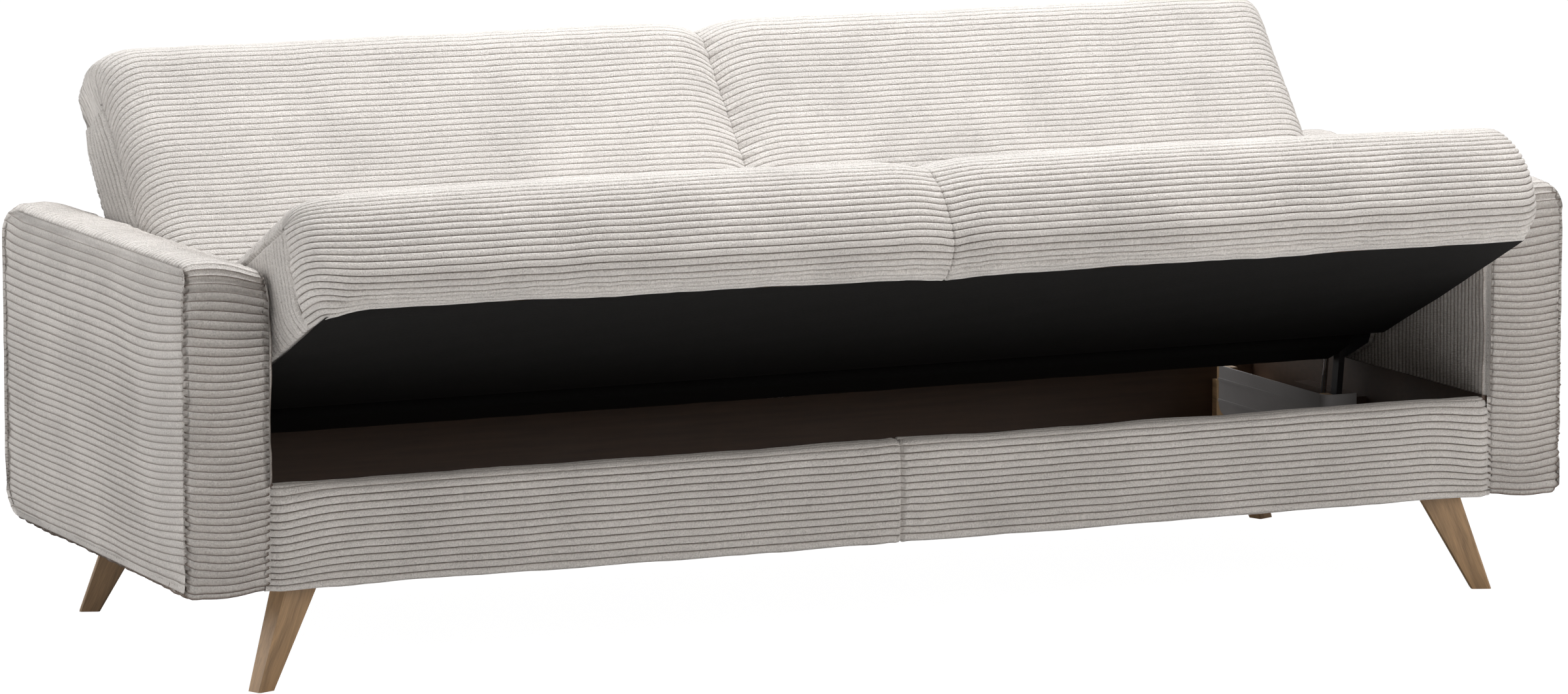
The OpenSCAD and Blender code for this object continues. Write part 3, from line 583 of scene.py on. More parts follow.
def wood_finish(name, colour, axis, roughness=0.5, contrast=1.0, coat=0.0):
    """Wood whose grain runs along an axis."""
    f = Finish(name)
    axis = Vector(axis).normalized()
    side = axis.cross(Vector((0.31, 0.87, 0.2))).normalized()
    place = f.place()
    run, a, b = (f.node("ShaderNodeVectorMath", {"operation": "DOT_PRODUCT"}, {0: place, 1: tuple(v)}, out="Value")
                 for v in (axis, side, axis.cross(side)))
    sway = (f.noise(f.join(run * 5, a * 9, b * 9)) - 0.5) * 0.05
    rings = f.noise(f.join(run * 4, (a + sway) * 110, (b + sway) * 60), 3.0, 0.6)
    pores = f.noise(f.join(run * 26, a * 900, b * 900), 2.0, 0.6)
    patch = f.noise(f.join(run * 3, a * 12, b * 12))
    tone = (rings - 0.5) * 1.7 * contrast + (pores - 0.5) * 0.8 * contrast + (patch - 0.5) * 0.6 + 0.5
    colour = f.node("ShaderNodeValToRGB", {"stops": [(0.0, shade(colour, 0.42)), (0.35, shade(colour, 0.80)),
                                                     (0.65, shade(colour, 1.08)), (1.0, shade(colour, 1.35))]},
                    {"Fac": tone})
    return f.surface(Base_Color=colour, Roughness=roughness + (pores - 0.5) * 0.25,
                     Normal=f.bump(rings * 0.4 + pores * 0.6, 0.35, 0.0006), Coat_Weight=coat, Coat_Roughness=0.35)


def board_finish(colour):
    """Dark laminated board with faint grain and rubbed patches."""
    f = Finish("Dark board")
    place = f.place()
    x, y, z = f.split(place)
    grain = f.noise(f.join(x * 7, y * 70, z * 120), 3.0)
    rubbed = f.noise(place, 4.0, 0.6, scale=9.0)
    pale = f.blend(grain, shade(colour, 0.65), shade(colour, 1.5))
    colour = f.blend((rubbed - 0.45) * 0.9, pale, shade(colour, 1.9))
    return f.surface(Base_Color=colour, Roughness=0.48 + rubbed * 0.2, Normal=f.bump(grain, 0.2, 0.0004))


def metal_finish(name, colour, roughness, metallic=1.0, brush=0.12):
    """Plated or painted steel with fine brushing and faint smudges."""
    f = Finish(name)
    place = f.place()
    x, y, z = f.split(place)
    lines = f.noise(f.join(x * 900, y * 40, z * 900))
    smudge = f.noise(place, 3.0, 0.6, scale=28.0)
    tint = f.blend(smudge, shade(colour, 0.78), shade(colour, 1.15))
    rough = roughness + (lines - 0.5) * brush + (smudge - 0.5) * 0.18
    return f.surface(Base_Color=tint, Metallic=metallic, Roughness=rough, Normal=f.bump(lines, 0.12, 0.0002))


def plastic_finish(name, colour):
    """Moulded plastic with a fine spark-eroded grain and dust in it."""
    f = Finish(name)
    place = f.place()
    grain = f.noise(place, 2.0, 0.6, scale=900.0)
    dust = f.noise(place, 4.0, 0.65, scale=14.0)
    tint = f.blend(dust, shade(colour, 0.86), shade(colour, 1.06))
    return f.surface(Base_Color=tint, Roughness=0.42 + dust * 0.15, Normal=f.bump(grain, 0.2, 0.0002))


def webbing_finish():
    """Woven elastic band."""
    f = Finish("Woven band")
    x, y, z = f.split(f.place())
    weave = x.maths("SINE", x * 2600) * y.maths("SINE", (y + z) * 1900)
    return f.surface(Base_Color=f.blend(weave * 0.5 + 0.5, (0.02, 0.02, 0.02), (0.11, 0.105, 0.10)),
                     Roughness=0.8, Normal=f.bump(weave, 0.5, 0.0006))


def finish_of(name, make, *values):
    """A finish made once and shared."""
    return bpy.data.materials.get(name) or make(*values)


def cord_of(context):
    """Finish of the cushions, arms and panels."""
    return finish_of("Ribbed cord", cord_finish, context.scene.sofa_cord)


def lining_of(context):
    """Finish of the black cloth."""
    return finish_of("Black dust cloth", black_cloth_finish, tuple(context.scene.sofa_cord.lining))


def paint(material, *nodes):
    """Gives CAD nodes this finish."""
    for name in nodes:
        slots = frame["nodes"][name].data.materials
        slots.clear()
        slots.append(material)


def pair(name):
    """Names of a node's left and right halves."""
    return f"{name}_left", f"{name}_right"


# Seat and back, in the planes of their sections


def about_hinge(x, rear, up, tilt):
    """Row frame from a frame at the hinge, tilted back: rear points behind it and up along its height."""
    x, rear, up = np.broadcast_arrays(x, rear, up)
    c, s = math.cos(tilt), math.sin(tilt)
    return np.stack([x, HINGE[1] + rear * c + up * s, HINGE[2] - rear * s + up * c], -1)


def place_seat(x, t, h):
    """Row frame from the seat's own frame."""
    return about_hinge(x, t - SEAT_HINGE[0], h - SEAT_HINGE[1], SEAT_TILT)


def place_back(x, y, u):
    """Row frame from the back's own frame."""
    return about_hinge(x, y, u, BACK_TILT)


def at_corner(x):
    """0 over a cushion, rising to 1 at its end."""
    return smooth((x - 0.930) / 0.050)


def seat_section(nose, top, low):
    """Outline from the black cloth up the front, over the top and down the rear; low is the reach of its foot."""
    share = np.linspace(0, 1, 12)[1:-1]
    ridge = np.column_stack([mix(SEAT_NOSE, SEAT_DEPTH - SEAT_REAR, share),
                             top - SEAT_FALL + SEAT_FALL * np.cos(share * math.pi / 2)])
    return line(arc((low - nose, SEAT_ROUND), low, SEAT_ROUND, 270, 180, 12),
                arc((SEAT_NOSE, SEAT_ROUND), SEAT_NOSE + nose, top - SEAT_ROUND, 180, 90, 30, 2.3), ridge,
                arc((SEAT_DEPTH - SEAT_REAR, top - SEAT_FALL - SEAT_REAR), SEAT_REAR, SEAT_REAR, 90, 0, 9),
                arc((SEAT_END, SEAT_EDGE), SEAT_EDGE, SEAT_EDGE, 0, -90, 5))


def hem_rise(x, t):
    """The front hem rises a little towards the left end and comes down again at the corner."""
    edge = 0.012  # width of the strip along the front that rises
    corner = smooth((SEAT_HALF - edge + x) / 0.070)
    return HEM_RISE * np.clip(-x / SEAT_HALF, 0, 1) * corner * np.clip(1 - t / edge, 0, 1)


def seat_stations(groove, end):
    """Rows of [x, nose, top, low] over half the seat: the groove, the crown and the round end."""
    grooved, crowned, rounded, _ = SEAT_COLUMNS
    a = np.linspace(0, 1, grooved)
    dip = groove * (1 - a) ** 1.7
    first = np.column_stack([mix(-0.002, SEAT_CROWN, a), SEAT_NOSE - dip, SEAT_TOP - dip, 0 * a + SEAT_NOSE])
    b = np.linspace(0, 1, crowned + 1)[1:]
    middle = np.column_stack([mix(SEAT_CROWN, SEAT_HALF - end, b), 0 * b + SEAT_NOSE,
                              SEAT_TOP + 0.004 * np.sin(b * math.pi), 0 * b + SEAT_NOSE])
    # Towards the end, the nose and the top draw in and the foot of the front stands up
    nose_in, top_in, low_end = 0.046, 0.016, 0.012
    g = np.radians(np.linspace(0, 78, rounded + 1)[1:])
    c = (1 - np.cos(g)) / (1 - np.cos(g[-1]))
    last = np.column_stack([SEAT_HALF - end + (end - 0.004) * np.sin(g) / np.sin(g[-1]), SEAT_NOSE - nose_in * c,
                            SEAT_TOP - top_in * c, mix(SEAT_NOSE, low_end, c)])
    return np.vstack([first, middle, last])


def under_turn(h):
    """How far the seat's end turns in towards its underside at this height."""
    return 0.014 * np.clip(1 - h / 0.045, 0, 1) ** 2


def eased(flat, start, passes):
    """Rounds the run of a grid's rows from a column on, up to its last column."""
    for _ in range(passes):
        flat[:, start:-1] += 0.25 * (flat[:, start - 1:-2] - 2 * flat[:, start:-1] + flat[:, start + 1:])
    return flat


def seat_flank(seat, cord):
    """End panel, with its ribs upright."""
    ribs = round((SEAT_END - seat.wrap) / cord.pitch)
    t = np.linspace(seat.wrap, SEAT_END, 2 * ribs + 1)
    h = np.linspace(FLANK_TOP, 0, 30)
    swell = np.interp(h, [0.0, 0.02, 0.08, 0.13, 0.15], [0, 0.002, 0.0035, 0.002, 0])
    ends = np.minimum(1, np.minimum(t - t[0], t[-1] - t) / 0.05) ** 0.6
    flank = place_seat(SEAT_HALF - under_turn(h) + swell * ends[:, None], t[:, None], h)
    return ribbed(flank, ribs, cord, (1, 1, 1, 1), True, 23, pinch=0.0022)


def seat_lip(hem):
    """Cloth turned in from the hem of the front and of the end, over the edge of the black cloth."""
    grooved, crowned, rounded, wrapped = SEAT_COLUMNS
    turn = np.radians(np.r_[np.zeros(grooved + crowned), np.linspace(0, 90, rounded + 1)[1:], np.full(wrapped, 90)])
    inward = np.stack([-np.sin(turn), np.cos(turn) * math.cos(SEAT_TILT), -np.cos(turn) * math.sin(SEAT_TILT)], -1)
    up = np.array([0, math.sin(SEAT_TILT), math.cos(SEAT_TILT)])
    return sheet_part(np.stack([hem + up * 0.004 * (k > 0) + inward * k for k in (0.030, 0.015, 0.004, 0)]), True)


def flank_lip():
    """Cloth turned in from the hem of the end panel."""
    x, h = np.array([[0.940, 0.003], [0.960, 0.002], [0.971, 0.0005], [0.9745, 0.0015]]).T
    return sheet_part(place_seat(x, np.linspace(0.050, 0.474, 20)[:, None], h))


def seat_parts(seat, cord, side, end, passes):
    """Top, strip under the front seam, end panel and the cloth turned in under them; side is -1 at the left."""
    stations = seat_stations(seat.groove, end)
    sections = [seat_section(*s[1:]) for s in stations]

    def grid(rows_of):
        """Grid through the points at these lengths of each section, and on to the end panel's seam."""
        columns = [standing(x, walk(s, rows_of(s))) for x, s in zip(stations[:, 0], sections)]
        edge = columns[-1]
        seam = np.column_stack([edge[:, 0], np.clip(edge[:, 1], seat.wrap, SEAT_END),
                                np.minimum(edge[:, 2], FLANK_TOP)])
        columns += [mix(edge, seam, a) + (0.004 * (1 - (1 - a) ** 1.3), 0, 0)
                    for a in np.linspace(0, 1, SEAT_COLUMNS[3] + 1)[1:]]
        x, t, h = np.moveaxis(eased(np.stack(columns, 1), sum(SEAT_COLUMNS[:2]) - 3, passes), -1, 0)
        # The end turns in at its hem and swells beside the nose
        corner = at_corner(x)
        tuck = under_turn(h) * corner
        tuck -= 0.010 * near(t + 0.010, 0.050) * near(h - 0.080, 0.06) * corner
        rise = hem_rise(side * x, 0) * np.clip(1 - h / 0.06, 0, 1) ** 2 * (t < 0.2)
        return place_seat(x - tuck, t, h + rise)

    reach = np.mean([lengths(s)[-1] for s in sections]) - SEAT_CLOTH
    ribs = round((reach - seat.band) / cord.pitch)
    low_ribs = max(1, round(seat.band / cord.pitch))
    main = grid(lambda s: np.linspace(seat.band, lengths(s)[-1] - SEAT_CLOTH, 2 * ribs + 1))
    band = grid(lambda s: np.linspace(0, seat.band, 4 * low_ribs + 1))
    return [ribbed(settle(main, True), ribs, cord, (1, 1, 1, 1), True, 11, soft=0.0008, relief=1.12),
            ribbed(band, low_ribs, cord, (0, 1, 1, 1), True, 17), seat_flank(seat, cord), seat_lip(band[0]),
            flank_lip()]


def seat_cloth():
    """Black cloth, which sags between its edges and turns up the rear: its part, half its width and its run."""
    half, edge, turn, flap = SEAT_HALF - 0.014, 0.012, 0.013, 0.038
    flat = np.r_[0.001, np.linspace(edge, SEAT_END, 31)]
    outline = line(np.column_stack([flat, 0 * flat]), arc((SEAT_END, turn), turn + 0.0002, turn, -90, 0, 7),
                   [[SEAT_DEPTH + 0.0012, flap]])
    run = lengths(outline)
    u, v = np.meshgrid(np.linspace(-half, half, 120), run)
    t, h = outline[:, :1], outline[:, 1:]
    middle = (h < 0.0001) * np.sin(np.clip(v / (SEAT_END - 0.001), 0, 1) * math.pi)
    sag = 0.0010 + 0.0012 * middle + 0.0005 * waves(u, v, 0.14, 3) * middle
    wavy = 0.0010 * waves(u, 0 * u, 0.11, 5) * near(v, 0.02)
    h = h - sag * (h < edge) + 1.15 * hem_rise(u, t)
    return sheet_part(place_seat(u, t + wavy, h), True), half, run


def toe_point(share, radius):
    """Points round the toe, from the hinge's height in front (0) down to the underside (1)."""
    end = 270 + BACK_LEAN - math.degrees(math.acos(BACK_LOW / BACK_FRONT))
    g = np.radians(mix(180, end, share))
    return np.column_stack([radius * np.cos(g), radius * np.sin(g)])


def heel_centre():
    """Centre of the heel's rounding, which touches the rear and the underside."""
    y, lean = BACK_REAR - HEEL_ROUND, math.radians(BACK_LEAN)
    return y, (y * math.sin(lean) - BACK_LOW + HEEL_ROUND) / math.cos(lean)


def back_section(front, top):
    """Outline from the toe up the face, over the crown, down the rear and under the heel."""
    share = np.linspace(1, 0, 17)
    toe = toe_point(share, mix(front, BACK_FRONT, np.minimum(1, 1.4 * share)))
    heel = arc(heel_centre(), HEEL_ROUND, HEEL_ROUND, 0, BACK_LEAN - 90, 10)
    under = np.linspace(0, 1, 8)[:, None] * (toe[0] - heel[-1]) + heel[-1]
    face = standing(-front, np.linspace(0, top - FACE_ROUND, 17)[1:-1])
    rear = standing(BACK_REAR, np.linspace(top - REAR_ROUND, heel_centre()[1], 17)[1:-1])
    return line(toe, face, arc((FACE_ROUND - front, top - FACE_ROUND), FACE_ROUND, FACE_ROUND, 180, 90, 14),
                arc((BACK_REAR - REAR_ROUND, top - REAR_ROUND), REAR_ROUND, REAR_ROUND, 90, 0, 8), rear, heel, under)


def back_stations(groove):
    """Rows of [x, front, top] over half the back: the groove, the middle and the round end."""
    a = np.linspace(0, 1, 14)
    dip = (1 - a) ** 2.3
    first = np.column_stack([mix(-0.004, BACK_CROWN, a), BACK_FRONT - groove * dip, BACK_TOP - 0.007 * dip])
    b = np.linspace(0, 1, 32)[1:]
    middle = np.column_stack([mix(BACK_CROWN, SEAT_HALF - SIDE_ROUND, b), 0 * b + BACK_FRONT, 0 * b + BACK_TOP])
    g = np.radians(np.linspace(0, 90, 13)[1:])
    c = 1 - np.cos(g)
    last = np.column_stack([SEAT_HALF - SIDE_ROUND + SIDE_ROUND * np.sin(g), BACK_FRONT - SIDE_ROUND * c,
                            BACK_TOP - 0.003 * c])
    return np.vstack([first, middle, last])


def back_corner(x, y, u):
    """How far the end's upper rear corner is drawn in."""
    return 0.013 * at_corner(x) * near(u - BACK_TOP + 0.045, 0.048) * smooth((y + 0.010) / 0.060)


def in_slot(centres):
    """Which faces are in the hinge's slot, or in the underside that the black cloth closes."""
    x, dy, dz = centres[:, 0], centres[:, 1] - HINGE[1], centres[:, 2] - HINGE[2]
    y = dy * math.cos(BACK_TILT) - dz * math.sin(BACK_TILT)
    u = dy * math.sin(BACK_TILT) + dz * math.cos(BACK_TILT)
    # Height over the sloping underside and length along it, from the toe
    toe, lean = toe_point(1, BACK_FRONT)[0], math.radians(BACK_LEAN)
    depth = (y - toe[0]) * math.sin(lean) - (u - toe[1]) * math.cos(lean)
    along = (y - toe[0]) * math.cos(lean) + (u - toe[1]) * math.sin(lean)
    under = (depth > -0.010) & (along > 0.0005) & (along < 0.084)
    under |= (u < -0.030) & (y < 0) & (np.hypot(y, u) > 0.080)
    return (x < SLOT[1]) & (under | (x > SLOT[0]) & (u < SLOT[2]))


def back_parts(back, cord):
    """Panel from the toe over the crown to the heel, and the end panel."""
    stations = back_stations(back.groove)
    sections = [back_section(*s[1:]) for s in stations]
    closer = 0.95  # pitch of the back's ribs against the seat's
    ribs = round(np.mean([lengths(s)[-1] for s in sections]) / cord.pitch / closer)
    columns = [standing(x, even(s, 2 * ribs + 1)) for x, s in zip(stations[:, 0], sections)]
    edge = columns[-1]
    y, u = edge[:, 1:].T
    crown = BACK_TOP - back.seam_drop

    def upper_seam(y):
        return crown + (y - 0.02) * END_RISE

    seam_y = np.where(u < 0, y * TOE_IN, np.clip(y, END_FACE, END_REAR))
    seam_u = np.where(u < 0, u * TOE_IN, u)
    seam = np.column_stack([edge[:, 0], seam_y, np.minimum(seam_u, upper_seam(seam_y))])
    columns += [mix(edge, seam, a) for a in np.linspace(0, 1, 6)[1:]]
    flat = np.moveaxis(np.stack(columns, 1), -1, 0)
    main = place_back(flat[0] - back_corner(*flat), flat[1], flat[2])
    # The pile is pressed flat, less so on the rear, and the painted valley shade is lighter with it
    relief = 0.44 + 0.15 * (y > BACK_REAR - 0.012) * (u < BACK_TOP - 0.02)
    marks = [np.interp(x, stations[:, 0], np.arange(len(stations))) for x in SLOT[:2]]

    # The end panel: its ribs run up the back, between a line at the face and one at the rear
    face = np.column_stack([seam_y, seam_u])[: int(np.argmax(u > BACK_TOP - 0.08))]
    face = line(face[face[:, 1] < crown - 0.012], [[END_FACE, upper_seam(END_FACE)]])
    behind = (y > 0.0) & (u < crown) & (np.arange(len(edge)) > len(edge) / 2)
    rear = np.column_stack([np.minimum(y, END_REAR), seam_u])[behind][::-1]
    rear = line(rear, [[END_REAR, upper_seam(END_REAR)]])
    end_ribs, steps = 8, 40
    share = np.linspace(0, 1, 3 * end_ribs + 1)[:, None]
    y, u = np.moveaxis(mix(even(face, steps), even(rear, steps), share[..., None]), -1, 0)
    swell = 0.003 * np.sin(share * math.pi) * np.sin(np.linspace(0, 1, steps) * math.pi) ** 0.5
    end = place_back(SEAT_HALF + swell - back_corner(SEAT_HALF, y, u), y, u)
    return [ribbed(settle(main, True), ribs, cord, (0, 0, 1, 1), True, 31, soft=0.0008, relief=relief, marks=marks,
                   hole=in_slot), ribbed(end, end_ribs, cord, (1, 1, 0, 1), False, 37)]


def slot_parts():
    """Walls and roof of the slot in the back that the hinge works in."""
    parts = []
    for x in SLOT[:2]:
        g = math.asin((x - SEAT_HALF + SIDE_ROUND) / SIDE_ROUND)
        section = back_section(BACK_FRONT - SIDE_ROUND * (1 - math.cos(g)), BACK_TOP)
        low = section[section[:, 1] < SLOT[2]]
        split = 1 + int(np.argmax(np.diff(lengths(low))))
        front, rear = even(low[:split][::-1], 20), even(low[split:], 20)
        within = 0.985  # the walls stay this little inside the section
        grid = mix(front, rear, np.linspace(0, 1, 9)[:, None, None]) * within
        parts.append(sheet_part(place_back(x, grid[..., 0], grid[..., 1])))
    roof = place_back(np.linspace(*SLOT[:2], 3), np.linspace(-0.088, 0.074, 9)[:, None], SLOT[2])
    return parts + [sheet_part(roof)]


def back_cloth():
    """Black cloth from the toe to the heel, between the slots: its part, half its width and its outline."""
    heel = HEEL_ROUND + 0.0014
    outline = line(toe_point(np.linspace(0.235, 1, 12), BACK_FRONT + 0.0012),
                   arc(heel_centre(), heel, heel, BACK_LEAN - 90, -44, 7))
    outline = even(outline, 24)
    half = SLOT[0] - 0.0003
    x = np.linspace(-half, half, 110)
    u = outline[:, 1:] + 0.0004 * waves(*np.meshgrid(x, outline[:, 0]), 0.12, 9)
    return sheet_part(place_back(x, outline[:, :1], u)), half, outline


# Arms


def arm_sides(inset):
    """Bottom, top, front and rear of an arm in side view and the radii of its rear and front, all drawn in."""
    return (ARM_LOW.z + inset, ARM_HIGH.z - inset, ARM_LOW.y + inset, ARM_HIGH.y - inset, ARM_REAR - inset,
            ARM_NOSE - inset)


def arm_outline(inset):
    """Side view of an arm in [y, z], drawn in all round, from the middle of its underside over the front."""
    low, high, first, last, r, nose = arm_sides(inset)
    toe = max(0.012 - inset / 2, 0.002)  # radius of the lower front corner
    middle = [[(first + last) / 2, low]]
    return line(middle, arc((first + toe, low + toe), toe, toe, 270, 180, 8),
                arc((first + nose, high - nose), nose, nose, 180, 90, 12),
                arc((last - r, high - r), r, r, 90, 0, 16), arc((last - r, low + r), r, r, 0, -90, 16), middle)


def arm_depth(y, z):
    """Distance of points in the side view from the arm's outline."""
    low, high, first, last, r, nose = arm_sides(0)
    depth = np.minimum(np.minimum(y - first, last - y), np.minimum(high - z, z - low))
    for radius, past, along in ((r, z - (high - r), y - last + r), (r, low + r - z, y - last + r),
                                (nose, z - high + nose, first + nose - y)):
        corner = (past > 0) & (along > 0)
        depth = np.where(corner, np.minimum(depth, radius - np.hypot(along, past)), depth)
    return depth


def arm_round(depth):
    """How far the rounded edge has turned in at this depth from the outline."""
    return ARM_ROUND - bow(ARM_ROUND, ARM_ROUND - depth)


def arm_swell(arm, grid):
    """Padding: higher and round on top outside, full at the rear top corner and hanging at the lower front."""
    x, y, z = np.moveaxis(grid, -1, 0)
    out = np.sin(np.clip((x - ARM_LOW.x) / 0.118, 0, 1) * math.pi / 2)
    rise = arm.rise * out * smooth((z - ARM_HIGH.z + 0.170) / 0.160)
    shoulder = 0.012 * out ** 4 * np.clip(1 - (ARM_HIGH.z - z) / 0.055, 0, 1) ** 2
    full = 0.0070 * out * near(np.hypot(ARM_HIGH.y - 0.019 - y, ARM_HIGH.z - 0.019 - z), 0.038)
    sag = 0.0055 * out * smooth((ARM_LOW.z + 0.060 - z) / 0.060) * np.clip(1 - (y - ARM_LOW.y) / 0.5, 0, 1)
    return grid + np.stack([-shoulder, full, rise + full - sag], -1)


def arm_band(arm, cord):
    """Strip round the front, top, rear and underside, with ribs across it."""
    # Angles round the inner and the outer edge, where the strip draws in towards its seams
    turn_in, turn_out = np.radians(np.linspace(38, 90, 8)), np.radians(np.linspace(90, 4, 13))
    r_in = ARM_ROUND - 0.0035 * smooth((math.radians(63) - turn_in) / 0.2)
    r_out = ARM_ROUND - 0.0040 * smooth((math.radians(31) - turn_out) / 0.22)
    inner, outer = ARM_LOW.x + ARM_ROUND, ARM_HIGH.x - ARM_ROUND
    flat = np.linspace(inner, outer, 10)[1:-1]
    crown = -0.0025 * np.sin((flat - flat[0]) / (flat[-1] - flat[0]) * math.pi)
    x = np.r_[inner - r_in * np.cos(turn_in), flat, outer + r_out * np.cos(turn_out)]
    inset = np.r_[ARM_ROUND - r_in * np.sin(turn_in), crown, ARM_ROUND - r_out * np.sin(turn_out)]
    ribs = round(lengths(arm_outline(0.0))[-1] / cord.pitch)
    grid = np.stack([standing(a, even(arm_outline(i), 3 * ribs + 1)) for a, i in zip(x, inset)], 1)
    y, z = grid[:, -1, 1:].T
    # The ribs stand tall on the front and low on the top behind it, so the painted valley shade is deep on the front
    # and nearly gone on the top, which reads lighter
    relief = 1.3 - 1.12 * smooth((z - ARM_HIGH.z + 0.030) / 0.018) * smooth((y - ARM_LOW.y - 0.004) / 0.045)
    # The ribs on the front hang in the middle
    share = (x - x[0]) / (x[-1] - x[0])
    z = grid[..., 2]
    hang = smooth((ARM_LOW.y + 0.030 - grid[..., 1]) / 0.020) * smooth((ARM_HIGH.z - 0.03 - z) / 0.05)
    grid[..., 2] = z - 0.005 * np.sin(share * math.pi) * hang * smooth((z - ARM_LOW.z - 0.010) / 0.04)
    return ribbed(arm_swell(arm, grid), ribs, cord, (0, 0, 1, 1), False, 41, soft=0.0010, relief=relief)


def arm_outside(arm, cord):
    """Outer side with ribs along the sofa's depth, swelling between its seams."""
    low, high, first, last, r, nose = arm_sides(ARM_ROUND * (1 - math.sin(math.radians(25))))
    ribs = round((high - low) / cord.pitch)
    z = np.linspace(low, high, 3 * ribs + 1)[:, None]
    rear = last - r + bow(r, np.maximum(z - (high - r), low + r - z))
    front = first + nose - bow(nose, z - high + nose)
    share = spread(last - ARM_LOW.y, 0.022) / (last - ARM_LOW.y)
    y = mix(front, rear, share)
    z = np.repeat(z, len(share), 1)
    df, dr, dt, db = y - front, rear - y, high - z, z - low
    swell = held(df, 0.045) * held(dr, 0.05) * held(dt, 0.05) * held(db, 0.06)
    x = ARM_HIGH.x - arm_round(arm_depth(y, z)) + arm.crown * swell
    hold = held(dt, 0.05) * held(db, 0.05)
    z = z + arm.bend * np.exp(-df / 0.055) * hold - 0.006 * near(df - 0.15, 0.09) * hold
    grid = settle(arm_swell(arm, np.stack([x, y, z], -1)), cap=0.003)
    return ribbed(grid, ribs, cord, (1, 1, 1, 1), False, 47, soft=0.0008, relief=0.78)


def arm_inside(cord):
    """Inner side over the box, with upright ribs that turn over the edge."""
    _, high, first, last, r, nose = arm_sides(ARM_ROUND * (1 - math.sin(math.radians(60))))
    low = BOX_TOP + 0.0003
    ribs = round((last - first) / cord.pitch)
    y = np.linspace(first, last, 3 * ribs + 1)[:, None]
    top = np.minimum(high - r + bow(r, y - (last - r)), high - nose + bow(nose, first + nose - y))
    share = spread(high - low, 0.022) / (high - low)
    z = mix(low, top, share)
    y = np.repeat(y, len(share), 1)
    swell = held(top - z, 0.04) * held(np.minimum(y - first, last - y), 0.05) * np.minimum(1, (z - low) / 0.05)
    x = ARM_LOW.x + arm_round(arm_depth(y, z)) - 0.0015 * swell
    return ribbed(np.stack([x, y, z], -1), ribs, cord, (1, 1, 0, 1), False, 53, soft=0.0009)


# Front and rear of the base


def front_parts(cord):
    """Padded cover of the front panel: face, round rim and the strip inside, in two lengths."""
    first, inside, low, rim = PANEL_LOW.y, PANEL_HIGH.y, PANEL_LOW.z, PANEL_HIGH.z - 0.0025
    share, r, r_in = np.linspace(0, 1, 20), 0.012, 0.006
    face = np.column_stack([first - 0.0035 * np.sin(share * math.pi) ** 0.6, mix(low, rim - r, share)])
    outline = line([[first + r, low]], [[first + 0.003, low + 0.0005]], face,
                   arc((first + r, rim - r), r, r, 180, 90, 8),
                   arc((inside - r_in, rim - r_in), r_in, r_in, 90, 0, 6), [[inside, rim - 0.024]])
    ribs = round(lengths(outline)[-1] / cord.pitch)
    x = mix(0.0, PANEL_HIGH.x + 0.010, np.r_[np.linspace(0, 0.97, 58), 0.98, 0.987, 0.993, 1])
    # The ribs hang towards the arms
    run = np.linspace(0, lengths(outline)[-1], 4 * ribs + 1)[:, None]
    hang = 0.011 * near(PANEL_HIGH.x - x, 0.060)
    run = run - hang * np.minimum(1, run / 0.06) * np.minimum(1, (run[-1] - run) / 0.09)
    y, z = np.moveaxis(walk(outline, run.ravel()).reshape(len(run), len(x), 2), -1, 0)
    # The cover is drawn in at its middle seam and at the arms
    dip = 0.0015 * near(x, 0.035) + 0.011 * smooth((x - PANEL_HIGH.x + 0.012) / 0.020)
    y = y + dip * np.clip((0.02 - (y - first)) / 0.02, 0, 1)
    # Taller ribs, with deeper painted valley shade, on the face than over the rim
    relief = 1.3 - 0.8 * smooth((z.mean(1) - rim + 0.016) / 0.012)
    grid = np.stack(np.broadcast_arrays(x, y, z), -1)
    return two_lengths(grid, ribs, cord, (0, 0, 1, 0), True, (61, 67), soft=0.0010, relief=relief)


def rear_parts(cord):
    """Cover of the low rear panel, which turns over its top edge, in two lengths."""
    outside, low, top, r = REAR_HIGH.y, REAR_LOW.z, REAR_HIGH.z + 0.002, 0.006
    outline = line([[outside - 0.010, low]], [[outside, low + 0.001]], [[outside, top - r]],
                   arc((outside - r, top - r), r, r, 0, 90, 6), [[outside - 0.0195, top]])
    ribs = round(lengths(outline)[-1] / cord.pitch)
    rows = even(outline, 4 * ribs + 1)
    grid = np.stack(np.broadcast_arrays(np.linspace(0, REAR_HIGH.x, 46), rows[:, :1], rows[:, 1:]), -1)
    return two_lengths(grid, ribs, cord, (0, 0, 1, 1), False, (71, 73), soft=0.0005)


# Operators


class SOFA_OT_seat(bpy.types.Operator):
    """Make the two seat cushions and the black cloth under them"""

    bl_idname = "sofa.seat"
    bl_label = "Seat"

    def execute(self, context):
        seat, cord = context.scene.sofa_seat, context.scene.sofa_cord
        # The left end is the rounder one
        for side, sign, end, passes in (("right", 1, 0.040, 7), ("left", -1, 0.085, 24)):
            parts = on_side(side, seat_parts(seat, cord, sign, end, passes))
            made = piece(f"seat_pad_{side}", parts, cord_of(context), "seat",
                         [f"seat_cushion_{side}"])
        part, half, run = seat_cloth()
        made = piece("seat_underside", [part], lining_of(context), "seat", ["seat_cloth"])
        2 * half
        return {"FINISHED"}


class SOFA_OT_back(bpy.types.Operator):
    """Make the two back cushions, the slots for the hinges and the black cloth under them"""

    bl_idname = "sofa.back"
    bl_label = "Back"

    def execute(self, context):
        parts = back_parts(context.scene.sofa_back, context.scene.sofa_cord)
        for side in ("right", "left"):
            made = piece(f"back_pad_{side}", on_side(side, parts), cord_of(context), "back",
                         [f"back_cushion_{side}"] + (["back_lining"] if side == "left" else []))
            piece(f"hinge_slot_{side}", on_side(side, slot_parts()), lining_of(context), "back")
        part, half, outline = back_cloth()
        made = piece("back_underside", [part], lining_of(context), "back", ["back_cloth"])
        2 * half
        return {"FINISHED"}


